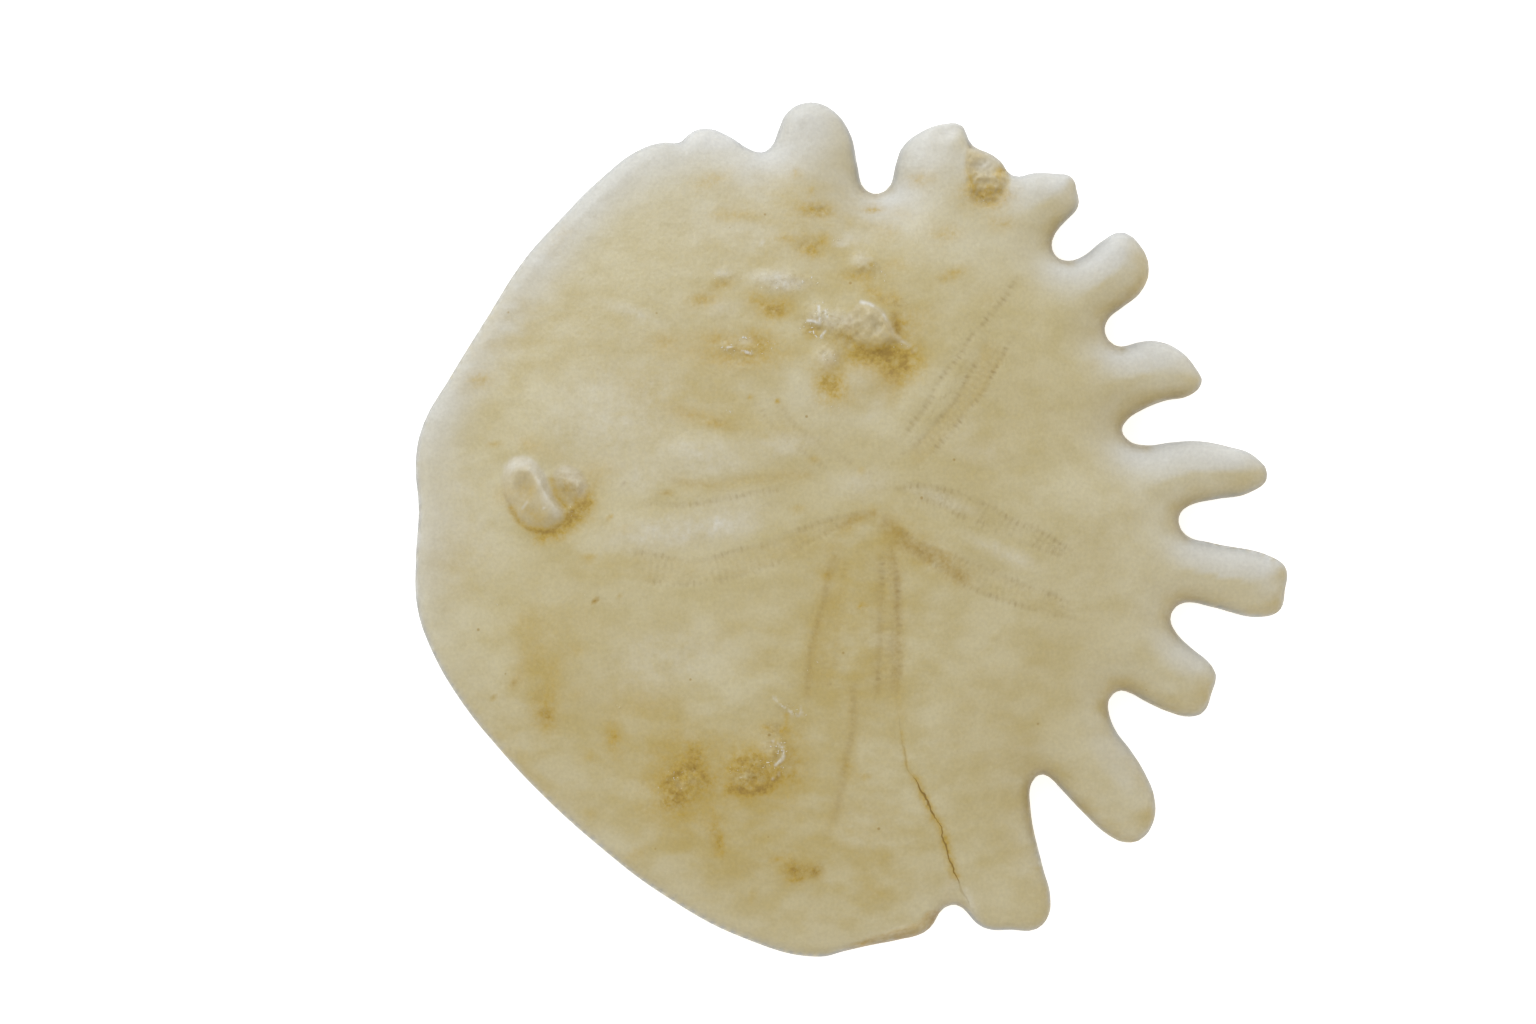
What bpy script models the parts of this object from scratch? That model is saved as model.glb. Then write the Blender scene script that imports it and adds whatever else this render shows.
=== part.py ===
"""A fossil sand dollar, 61 mm across, with finger-like lobes along its rear edge.

The test (the skeleton of the animal) grew as one piece, and the lumps of rock on it are cemented
fast, so it is one solid. It lies on its flat mouth side, with the five petals facing up.

Lengths in the tables are in millimetres. Seen from above, +X points to the rear edge with its
fingers, and +Y to the side that is at the top when the rear points right. Z is 0 where it rests.
"""

import math

import bmesh
import bpy
import numpy as np

MM = 0.001
NAME = "sand_dollar"

# Thickness of the test
RIM_THICKNESS = 2.7
RIM_ROUNDING = 1.2
APEX_HEIGHT = 6.6
DOME_REACH = 33.0
DOME_FULLNESS = 1.2
RIM_THINNING_WIDTH = 9.0

# The apex, where the petals meet, and the mouth below it
APEX = (1.3, 3.0)
MOUTH = (0.9, 2.5)
MOUTH_RADIUS = 1.3
MOUTH_DEPTH = 1.5
REAR_AXIS_DEG = 12.0
VENT_FROM_MOUTH = 8.0
VENT_RADIUS = 0.8
VENT_DEPTH = 0.8
HOLLOW_RADIUS = 19.0
HOLLOW_DEPTH = 0.5

# Petals: the direction of each from the apex, in degrees, and the middle line of each band of pores
PETAL_DIRECTIONS = {
    "rear_left": 53.0,
    "rear_right": -26.5,
    "front_right": 263.7,
    "front": 193.5,
    "front_left": 127.0,
}
PORE_BANDS = {
    "rear_left_outer": [(3.5, 6.3), (5.1, 8.7), (6.4, 10.8), (8.2, 13.3), (9.8, 15.2), (11.8, 17.8)],
    "rear_left_inner": [
        (3.7, 4.7), (4.9, 5.8), (6.1, 6.9), (6.9, 7.7), (7.8, 9.1), (8.6, 10.1), (9.3, 11.4), (10.4, 12.9),
    ],
    "rear_right_inner": [
        (3.0, 2.8), (4.4, 2.5), (6.1, 2.3), (8.3, 1.4), (10.4, 0.4), (12.8, -0.7), (15.4, -2.1),
    ],
    "rear_right_outer": [
        (3.0, -0.2), (4.2, -1.2), (5.5, -1.9), (6.9, -2.6), (8.3, -3.3), (9.8, -4.0), (11.2, -4.5),
        (13.2, -5.0), (15.8, -5.8),
    ],
    "front_right_rear": [(2.6, -1.1), (2.5, -2.1), (2.6, -4.9), (2.6, -7.7), (2.5, -10.5), (2.3, -14.0)],
    "front_right_front": [
        (-0.7, -1.1), (-1.1, -2.8), (-1.4, -4.9), (-1.8, -7.7), (-2.1, -10.5), (-2.2, -13.3),
    ],
    "front_right_side": [
        (0.9, 1.3), (-0.5, 0.7), (-1.9, 0.0), (-3.6, -0.7), (-4.9, -1.4), (-6.3, -1.9), (-7.7, -2.3),
        (-9.3, -2.7), (-10.6, -3.0), (-12.4, -3.3), (-14.1, -3.7),
    ],
    "front_left_side": [
        (-0.1, 3.0), (-2.2, 3.5), (-4.3, 3.5), (-6.4, 3.2), (-8.2, 2.9), (-9.6, 2.7), (-11.3, 2.5),
        (-13.4, 2.6), (-14.8, 2.6),
    ],
    "left_front": [(-0.5, 3.3), (-2.8, 4.9), (-4.3, 6.1), (-5.7, 7.3), (-6.8, 8.8), (-7.7, 10.1)],
    "left_rear": [(0.5, 4.2), (-1.5, 5.4), (-2.8, 6.3), (-4.0, 7.3), (-4.9, 8.5), (-5.8, 9.6), (-7.0, 11.0)],
}
PORE_BAND_HALF_WIDTH = 0.6
PORE_BAND_DEPTH = 0.2

# The crack beside the last finger
CRACK = [(3.6, -16.5), (4.7, -17.9), (5.6, -19.4), (6.3, -21.0), (6.9, -23.1), (8.2, -26.1)]
CRACK_HALF_WIDTH = 0.3
CRACK_DEPTH = 0.2

# Food grooves under the test: each petal's direction has a short trunk that forks in two
FOOD_TRUNK_LENGTH = 4.0
FOOD_FORK_DEG = 13.0
FOOD_GROOVE_LENGTH = 17.0
FOOD_GROOVE_HALF_WIDTH = 0.45
FOOD_GROOVE_DEPTH = 0.22

# The outline, clockwise from the front, in stretches that follow one another
FRONT_RIM = [
    (-2.2, -29.9), (-7.5, -28.6), (-13.4, -25.4), (-17.6, -22.2), (-21.8, -18.4), (-24.6, -15.4),
    (-27.4, -11.9), (-29.5, -8.2), (-30.4, -5.4), (-30.5, -2.1), (-30.3, 1.4), (-30.5, 4.9),
    (-30.0, 7.3), (-28.2, 10.5), (-25.6, 14.7), (-22.9, 18.9), (-20.4, 21.7), (-17.6, 24.5),
    (-14.8, 26.6), (-13.1, 27.1), (-11.9, 27.1),
]
WORN_STUMP = [(-11.4, 27.7), (-10.2, 28.1), (-8.5, 27.5), (-7.1, 26.6), (-6.2, 26.4), (-5.6, 26.8)]
FINGERS = {
    "finger_1": [(-5.1, 28.0), (-4.5, 29.2), (-3.0, 29.9), (-1.4, 29.4), (-0.1, 27.7), (0.4, 25.5)],
    "finger_2": [(3.1, 25.6), (3.5, 26.7), (4.8, 27.8), (6.5, 28.4), (7.7, 28.3), (8.1, 27.5)],
    "finger_3": [(12.7, 24.9), (14.6, 24.9), (15.4, 24.6), (15.9, 23.3), (15.9, 22.7), (15.1, 21.7)],
    "finger_4": [
        (16.3, 19.2), (17.4, 20.1), (18.9, 20.8), (20.1, 20.0), (20.8, 18.3), (20.3, 16.7), (18.9, 15.5),
    ],
    "finger_5": [
        (20.0, 13.1), (21.3, 13.2), (23.0, 12.5), (24.0, 11.4), (24.5, 10.3), (23.7, 9.4), (21.9, 9.0),
        (20.2, 8.3),
    ],
    "finger_6": [
        (22.3, 6.1), (24.2, 6.2), (26.4, 5.8), (28.1, 5.2), (29.1, 3.7), (27.9, 2.6), (25.4, 2.1),
        (23.7, 1.7),
    ],
    "finger_7": [
        (25.1, -0.9), (29.6, -2.0), (30.4, -2.7), (30.3, -4.3), (30.0, -5.6), (28.9, -6.1), (25.1, -5.4),
    ],
    "finger_8": [
        (23.8, -8.3), (25.1, -9.4), (25.5, -10.2), (25.2, -11.4), (24.6, -12.8), (23.7, -13.1),
        (22.3, -12.8), (20.5, -12.0),
    ],
    "finger_9": [
        (18.5, -14.1), (19.5, -15.4), (20.5, -17.0), (21.2, -18.8), (21.1, -20.5), (20.2, -21.7),
        (19.2, -21.9), (18.0, -21.4), (16.1, -19.7), (14.6, -18.1),
    ],
    "finger_10": [
        (12.5, -19.3), (13.4, -23.7), (13.9, -25.6), (13.7, -27.2), (12.8, -28.0), (11.1, -28.0),
        (9.7, -28.0), (8.8, -27.6), (8.0, -26.7),
    ],
}
NOTCHES = {
    "notch_1": [(0.9, 23.8), (1.6, 23.5), (2.5, 23.8)],
    "notch_2": [(8.4, 26.9), (9.7, 26.3), (10.5, 25.7), (11.0, 24.9), (11.7, 24.7)],
    "notch_3": [(14.3, 20.8), (14.0, 19.9), (14.3, 19.1), (15.2, 18.8)],
    "notch_4": [(18.0, 14.8), (17.7, 14.0), (18.1, 13.1), (18.8, 12.8)],
    "notch_5": [(19.3, 7.7), (18.9, 7.0), (19.4, 6.2), (20.6, 5.9)],
    "notch_6": [(23.0, 1.2), (22.9, 0.4), (23.4, -0.4)],
    "notch_7": [(23.7, -5.1), (22.8, -5.3), (22.3, -6.2), (22.7, -7.2)],
    "notch_8": [(19.4, -11.4), (18.6, -11.3), (18.0, -11.9), (18.0, -12.8)],
    "notch_9": [(13.8, -17.3), (13.2, -17.1), (12.6, -17.7)],
    "notch_10": [(7.5, -26.3), (6.8, -26.3), (6.2, -26.7)],
}
BROKEN_EDGE = [(5.8, -27.5), (5.1, -28.2), (3.4, -28.7), (1.3, -29.1), (-0.5, -29.5)]
LEDGE_WIDTH = 0.75
LEDGE_DROP = 1.1

# The stump beside the first finger stands lower than the rest: place, radius and how much lower
STUMP_CENTRE = (-9.2, 28.4)
STUMP_RADIUS = 2.9
STUMP_DROP = 0.8

# Lumps and pits on top: centre, half length, half width, turn in degrees, and height (below 0 for a pit)
RELIEF = {
    "front_lump": ((-22.3, 2.6), 2.8, 1.9, -60.0, 1.15),
    "front_lump_hollow": ((-22.6, 3.1), 1.1, 0.8, -60.0, -0.45),
    "front_lump_lobe": ((-19.7, 3.0), 1.4, 1.2, -30.0, 0.60),
    "side_lump": ((0.9, 14.2), 2.0, 1.6, -15.0, 1.00),
    "side_lump_undercut": ((2.2, 12.3), 1.9, 0.6, 10.0, -0.25),
    "side_grain_a": ((-2.2, 14.5), 1.0, 0.9, 0.0, 0.35),
    "side_grain_b": ((-1.7, 12.1), 1.1, 0.9, 0.0, 0.35),
    "side_nub": ((0.7, 18.6), 1.2, 0.9, 10.0, 0.40),
    "sugary_patch": ((-7.5, 12.9), 1.8, 1.1, -15.0, 0.30),
    "crust_patch": ((-5.4, 17.3), 2.2, 1.0, 0.0, 0.25),
    "crust_patch_end": ((-9.1, 17.5), 1.3, 0.9, 20.0, 0.22),
    "pale_swelling": ((-8.9, 8.4), 1.5, 1.1, 20.0, 0.25),
    "rough_patch": ((-6.1, -16.3), 2.4, 1.9, 30.0, 0.40),
    "rough_patch_front": ((-11.4, -17.2), 1.9, 1.4, 50.0, 0.25),
    "rough_crest": ((-4.4, -12.7), 1.3, 0.6, -40.0, 0.25),
    "pit_a": ((-2.6, 22.1), 1.3, 0.8, 5.0, -0.30),
    "pit_b": ((-2.9, 20.1), 1.5, 0.7, 30.0, -0.25),
    "pit_c": ((-10.6, 16.1), 1.4, 0.7, 20.0, -0.30),
    "pit_d": ((-5.6, 15.4), 1.5, 0.8, -10.0, -0.30),
    "pit_e": ((7.2, 17.9), 1.1, 0.7, 30.0, -0.20),
    "pit_f": ((-3.9, -23.6), 1.2, 0.8, 0.0, -0.25),
}
# The rock in the second notch, a little lower than the fingers that hold it
NOTCH_ROCK = ((9.4, 24.9), 1.5, 2.2, 0.0, -0.75)

# Density of the mesh
CURVE_STEPS = 8
VOXEL = 0.36
TRIANGLES = 9400
BASE_FLATNESS = 0.03


def clear_scene():
    """Leave an empty scene."""
    for obj in list(bpy.data.objects):
        bpy.data.objects.remove(obj)


def outline_points():
    """The outline's points in order, clockwise seen from above."""
    points = list(FRONT_RIM) + list(WORN_STUMP)
    for number in range(1, len(FINGERS) + 1):
        points += FINGERS[f"finger_{number}"] + NOTCHES[f"notch_{number}"]
    return points + BROKEN_EDGE


def outline_curve():
    """A flat filled curve along the outline, thick as the rim, with its edge rounded by a bevel."""
    curve = bpy.data.curves.new("outline", "CURVE")
    curve.dimensions = "2D"
    curve.fill_mode = "BOTH"
    curve.resolution_u = CURVE_STEPS
    spline = curve.splines.new("BEZIER")
    points = outline_points()
    spline.bezier_points.add(len(points) - 1)
    for knot, (x, y) in zip(spline.bezier_points, points):
        knot.co = (x * MM, y * MM, 0)
        knot.handle_left_type = "AUTO"
        knot.handle_right_type = "AUTO"
    spline.use_cyclic_u = True
    curve.extrude = (RIM_THICKNESS / 2 - RIM_ROUNDING) * MM
    curve.bevel_depth = RIM_ROUNDING * MM
    curve.bevel_resolution = 3
    curve.offset = -RIM_ROUNDING * MM
    obj = bpy.data.objects.new("outline", curve)
    bpy.context.scene.collection.objects.link(obj)
    return obj


def outline_samples():
    """Evenly read points along the smooth outline, in millimetres, as an array of (x, y)."""
    curve = bpy.data.curves.new("outline_line", "CURVE")
    curve.dimensions = "2D"
    curve.fill_mode = "NONE"
    curve.resolution_u = CURVE_STEPS
    spline = curve.splines.new("BEZIER")
    points = outline_points()
    spline.bezier_points.add(len(points) - 1)
    for knot, (x, y) in zip(spline.bezier_points, points):
        knot.co = (x * MM, y * MM, 0)
        knot.handle_left_type = "AUTO"
        knot.handle_right_type = "AUTO"
    spline.use_cyclic_u = True
    obj = bpy.data.objects.new("outline_line", curve)
    bpy.context.scene.collection.objects.link(obj)
    mesh = evaluated_mesh(obj)
    line = np.array([vertex.co[:2] for vertex in mesh.vertices]) / MM
    bpy.data.objects.remove(obj)
    return line


def evaluated_mesh(obj):
    """A new mesh of the object with its modifiers and its curve settings applied."""
    bpy.context.view_layer.update()
    graph = bpy.context.evaluated_depsgraph_get()
    return bpy.data.meshes.new_from_object(obj.evaluated_get(graph))


def even_plate(curve):
    """The plate remeshed into even quads, ready to be raised and hollowed."""
    mesh = evaluated_mesh(curve)
    solid = bmesh.new()
    solid.from_mesh(mesh)
    bmesh.ops.remove_doubles(solid, verts=solid.verts, dist=0.001 * MM)
    solid.to_mesh(mesh)
    solid.free()
    bpy.data.objects.remove(curve)
    plate = bpy.data.objects.new(NAME, mesh)
    bpy.context.scene.collection.objects.link(plate)
    remesh = plate.modifiers.new("even quads", "REMESH")
    remesh.mode = "VOXEL"
    remesh.voxel_size = VOXEL * MM
    even = evaluated_mesh(plate)
    plate.modifiers.clear()
    plate.data = even
    return plate


def hill(x, y, centre, half_length, half_width, turn_deg):
    """A round-topped hill of height 1 over a turned ellipse, which fades to 0 past its edge."""
    turn = math.radians(turn_deg)
    dx, dy = x - centre[0], y - centre[1]
    along = (dx * math.cos(turn) + dy * math.sin(turn)) / half_length
    across = (-dx * math.sin(turn) + dy * math.cos(turn)) / half_width
    return np.exp(-1.2 * (along**2 + across**2) ** 1.5)


def soft_rim_distance(x, y, line):
    """Distance to the outline, smoothed so that it has no crease along the middle of a finger."""
    step = np.linalg.norm(np.roll(line, -1, axis=0) - line, axis=1)
    total = np.zeros(len(x))
    for (px, py), length in zip(line, step):
        total += length / ((x - px) ** 2 + (y - py) ** 2 + 0.01) ** 2
    return (total / (math.pi / 2)) ** (-1 / 3)


def distance_to(x, y, points):
    """Distance to the nearest of a few joined points."""
    nearest = np.full(len(x), np.inf)
    for (ax, ay), (bx, by) in zip(points, points[1:]):
        ux, uy = bx - ax, by - ay
        share = np.clip(((x - ax) * ux + (y - ay) * uy) / (ux**2 + uy**2), 0, 1)
        nearest = np.minimum(nearest, np.hypot(x - ax - share * ux, y - ay - share * uy))
    return nearest


def fade(value, start, end):
    """0 before start and 1 after end, with a smooth step between."""
    share = np.clip((value - start) / (end - start), 0, 1)
    return share**2 * (3 - 2 * share)


def sunk_bands(x, y):
    """How much the two pore bands of each petal, and the crack, sink the top."""
    sunk = np.zeros(len(x))
    for middle_line in PORE_BANDS.values():
        away = distance_to(x, y, middle_line) / PORE_BAND_HALF_WIDTH
        sunk = np.maximum(sunk, PORE_BAND_DEPTH * np.exp(-(away**2)))
    away = distance_to(x, y, CRACK) / CRACK_HALF_WIDTH
    return sunk + CRACK_DEPTH * np.exp(-(away**2))


def top_height(x, y, line):
    """Height of the top above the plane that the test rests on."""
    from_apex = np.hypot(x - APEX[0], y - APEX[1])
    dome = np.clip(1 - (from_apex / DOME_REACH) ** 2, 0, 1) ** DOME_FULLNESS
    inwards = np.clip(soft_rim_distance(x, y, line) / RIM_THINNING_WIDTH, 0, 1)
    height = RIM_THICKNESS + (APEX_HEIGHT - RIM_THICKNESS) * dome * inwards * (2 - inwards)
    height -= sunk_bands(x, y)
    for centre, half_length, half_width, turn, rise in [*RELIEF.values(), NOTCH_ROCK]:
        height += rise * hill(x, y, centre, half_length, half_width, turn)
    height -= STUMP_DROP * hill(x, y, STUMP_CENTRE, STUMP_RADIUS, STUMP_RADIUS, 0)
    ledge = 1 - fade(distance_to(x, y, BROKEN_EDGE), 0.6 * LEDGE_WIDTH, 1.4 * LEDGE_WIDTH)
    return height - LEDGE_DROP * ledge


def food_grooves(x, y):
    """How much the forked food grooves cut into the underside."""
    cut = np.zeros(len(x))
    for direction_deg in PETAL_DIRECTIONS.values():
        for side in (-1, 1):
            turn = math.radians(direction_deg)
            fork = math.radians(direction_deg + side * FOOD_FORK_DEG)
            bend = (
                MOUTH[0] + FOOD_TRUNK_LENGTH * math.cos(turn),
                MOUTH[1] + FOOD_TRUNK_LENGTH * math.sin(turn),
            )
            end = (
                MOUTH[0] + FOOD_GROOVE_LENGTH * math.cos(fork),
                MOUTH[1] + FOOD_GROOVE_LENGTH * math.sin(fork),
            )
            away = distance_to(x, y, [MOUTH, bend, end])
            cut = np.maximum(cut, np.exp(-((away / FOOD_GROOVE_HALF_WIDTH) ** 2)))
    from_mouth = np.hypot(x - MOUTH[0], y - MOUTH[1])
    return FOOD_GROOVE_DEPTH * cut * (1 - fade(from_mouth, FOOD_GROOVE_LENGTH - 4, FOOD_GROOVE_LENGTH))


def underside_height(x, y):
    """Height of the underside: flat near the rim, hollow towards the mouth, with mouth, vent and grooves."""
    from_mouth = np.hypot(x - MOUTH[0], y - MOUTH[1])
    height = HOLLOW_DEPTH * np.clip(1 - (from_mouth / HOLLOW_RADIUS) ** 2, 0, 1) ** 2
    height += food_grooves(x, y)
    rear = math.radians(REAR_AXIS_DEG)
    vent = (MOUTH[0] + VENT_FROM_MOUTH * math.cos(rear), MOUTH[1] + VENT_FROM_MOUTH * math.sin(rear))
    height += MOUTH_DEPTH * hill(x, y, MOUTH, MOUTH_RADIUS, MOUTH_RADIUS, 0)
    return height + VENT_DEPTH * hill(x, y, vent, VENT_RADIUS, VENT_RADIUS, 0)


def raise_form(plate, line):
    """Stretch the plate between the underside and the top."""
    mesh = plate.data
    points = np.empty(len(mesh.vertices) * 3)
    mesh.vertices.foreach_get("co", points)
    x, y, z = points.reshape(-1, 3).T / MM
    level = np.clip(z / RIM_THICKNESS + 0.5, 0, 1)
    low = underside_height(x, y)
    high = top_height(x, y, line)
    raised = low + level * (high - low)
    mesh.vertices.foreach_set("co", (np.stack([x, y, raised], axis=1) * MM).ravel())
    mesh.update()


def settle_on_base(obj):
    """Make the base truly flat at height 0, with the middle of its box at the origin."""
    mesh = obj.data
    points = np.empty(len(mesh.vertices) * 3)
    mesh.vertices.foreach_get("co", points)
    points = points.reshape(-1, 3)
    points[points[:, 2] < BASE_FLATNESS * MM, 2] = 0
    low, high = points.min(axis=0), points.max(axis=0)
    points[:, :2] -= (low[:2] + high[:2]) / 2
    mesh.vertices.foreach_set("co", points.ravel())
    mesh.update()


def thin_out(obj):
    """Merge faces where the surface is nearly flat, so that the solid stays light."""
    obj.data.calc_loop_triangles()
    decimate = obj.modifiers.new("thin out", "DECIMATE")
    decimate.ratio = TRIANGLES / len(obj.data.loop_triangles)
    thinned = evaluated_mesh(obj)
    obj.modifiers.clear()
    obj.data = thinned


def fossil_calcite():
    """The worn, waxy, cream-coloured calcite of the test."""
    material = bpy.data.materials.new("fossil calcite")
    material.use_nodes = True
    shader = material.node_tree.nodes["Principled BSDF"]
    shader.inputs["Base Color"].default_value = (0.52, 0.46, 0.28, 1)
    shader.inputs["Roughness"].default_value = 0.5
    shader.inputs["Metallic"].default_value = 0.0
    return material


def main():
    """Build the sand dollar."""
    clear_scene()
    line = outline_samples()
    test = even_plate(outline_curve())
    raise_form(test, line)
    thin_out(test)
    settle_on_base(test)
    test.data.name = NAME
    test.data.materials.clear()
    test.data.materials.append(fossil_calcite())
    test.data.shade_smooth()
    collection = bpy.data.collections.new("sand dollar")
    bpy.context.scene.collection.children.link(collection)
    bpy.context.scene.collection.objects.unlink(test)
    collection.objects.link(test)


main()
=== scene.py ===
"""Looks of a fossil sand dollar: its worn calcite test with petals, crusts and stains, and the rock on it.

Lengths in the tables are in millimetres, in the part's own frame: +X to the rear edge with its
fingers, +Y to the left side, +Z up through the petals, and the test rests on z = 0.
"""

import logging
import math
from collections.abc import Callable, Sequence
from dataclasses import dataclass, field
from enum import Enum

import bmesh
import bpy
import numpy as np
from mathutils import Euler, Matrix, Vector


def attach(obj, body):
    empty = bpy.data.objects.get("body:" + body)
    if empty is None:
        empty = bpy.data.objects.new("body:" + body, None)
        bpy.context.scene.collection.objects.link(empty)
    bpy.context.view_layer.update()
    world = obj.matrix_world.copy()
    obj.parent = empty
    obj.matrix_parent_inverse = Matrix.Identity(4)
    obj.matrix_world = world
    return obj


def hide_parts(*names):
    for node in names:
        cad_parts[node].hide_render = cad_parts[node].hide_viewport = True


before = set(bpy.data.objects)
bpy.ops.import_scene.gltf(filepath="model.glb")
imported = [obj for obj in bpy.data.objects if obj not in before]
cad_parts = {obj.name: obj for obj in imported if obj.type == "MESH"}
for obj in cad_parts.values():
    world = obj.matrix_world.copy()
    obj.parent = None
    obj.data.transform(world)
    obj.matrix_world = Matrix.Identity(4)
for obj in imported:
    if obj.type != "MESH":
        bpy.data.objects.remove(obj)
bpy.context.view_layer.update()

LOG = logging.getLogger("sand_dollar")
MM = 0.001
NODE = "sand_dollar"
BODY = "root"

Array = np.ndarray
Point = tuple[float, float]
Colour = tuple[float, float, float, float]
Socket = bpy.types.NodeSocket
Inputs = dict[str | int, "float | Sequence[float] | Socket"]

# The camera hangs over the middle of the photo's frame, which takes in 107.52 mm at the widest level
FRAME_WIDTH = 107.52
FRAME_CENTRE = (-5.85, 1.23)
WIDEST_LEVEL = 1.35
CAMERA_DISTANCE = 450.0
SENSOR_WIDTH = 36.0

# The apex, where the petals meet, and the mouth below it
APEX = (1.3, 3.0)
MOUTH = (0.9, 2.5)

# The outline, clockwise from the front, in stretches that follow one another
FRONT_RIM = [
    (-2.2, -29.9), (-7.5, -28.6), (-13.4, -25.4), (-17.6, -22.2), (-21.8, -18.4), (-24.6, -15.4),
    (-27.4, -11.9), (-29.5, -8.2), (-30.4, -5.4), (-30.5, -2.1), (-30.3, 1.4), (-30.5, 4.9),
    (-30.0, 7.3), (-28.2, 10.5), (-25.6, 14.7), (-22.9, 18.9), (-20.4, 21.7), (-17.6, 24.5),
    (-14.8, 26.6), (-13.1, 27.1), (-11.9, 27.1),
]
WORN_STUMP = [(-11.4, 27.7), (-10.2, 28.1), (-8.5, 27.5), (-7.1, 26.6), (-6.2, 26.4), (-5.6, 26.8)]
FINGERS_AND_NOTCHES = [
    (-5.1, 28.0), (-4.5, 29.2), (-3.0, 29.9), (-1.4, 29.4), (-0.1, 27.7), (0.4, 25.5),
    (0.9, 23.8), (1.6, 23.5), (2.5, 23.8),
    (3.1, 25.6), (3.5, 26.7), (4.8, 27.8), (6.5, 28.4), (7.7, 28.3), (8.1, 27.5),
    (8.4, 26.9), (9.7, 26.3), (10.5, 25.7), (11.0, 24.9), (11.7, 24.7),
    (12.7, 24.95), (14.4, 24.9), (15.2, 24.8), (15.55, 24.5), (15.75, 23.7), (15.92, 22.9), (15.8, 22.45),
    (15.0, 21.6),
    (14.3, 20.8), (14.0, 19.9), (14.3, 19.1), (15.2, 18.8),
    (16.3, 19.2), (17.4, 20.1), (18.9, 20.8), (20.1, 20.0), (20.8, 18.3), (20.3, 16.7), (18.9, 15.5),
    (18.0, 14.8), (17.7, 14.0), (18.1, 13.1), (18.8, 12.8),
    (20.0, 13.1), (21.3, 13.2), (23.0, 12.5), (24.0, 11.4), (24.5, 10.3), (23.7, 9.4), (21.9, 9.0),
    (20.2, 8.3),
    (19.3, 7.7), (18.9, 7.0), (19.4, 6.2), (20.6, 5.9),
    (22.3, 6.1), (24.2, 6.2), (26.4, 5.8), (28.1, 5.2), (29.1, 3.7), (27.9, 2.6), (25.4, 2.1),
    (23.7, 1.7),
    (23.0, 1.2), (22.9, 0.4), (23.4, -0.4),
    (25.1, -0.9), (29.6, -2.0), (30.4, -2.7), (30.3, -4.3), (30.0, -5.6), (28.9, -6.1), (25.1, -5.4),
    (23.7, -5.1), (22.8, -5.3), (22.3, -6.2), (22.7, -7.2),
    (23.8, -8.3), (25.1, -9.4), (25.5, -10.2), (25.2, -11.4), (24.6, -12.8), (23.7, -13.1),
    (22.3, -12.8), (20.5, -12.0),
    (19.4, -11.4), (18.6, -11.3), (18.0, -11.9), (18.0, -12.8),
    (18.5, -14.1), (19.5, -15.4), (20.5, -17.0), (21.2, -18.8), (21.1, -20.5), (20.2, -21.7),
    (19.2, -21.9), (18.0, -21.4), (16.1, -19.7), (14.6, -18.1),
    (13.8, -17.3), (13.2, -17.1), (12.6, -17.7),
    (12.5, -19.3), (13.4, -23.7), (13.9, -25.6), (13.7, -27.2), (12.8, -28.0), (11.1, -28.0),
    (9.7, -28.0), (8.8, -27.6), (8.0, -26.7),
    (7.5, -26.3), (6.8, -26.3), (6.2, -26.7),
]
BROKEN_EDGE = [(5.8, -27.5), (5.1, -28.2), (3.4, -28.7), (1.3, -29.1), (-0.5, -29.5)]

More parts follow.
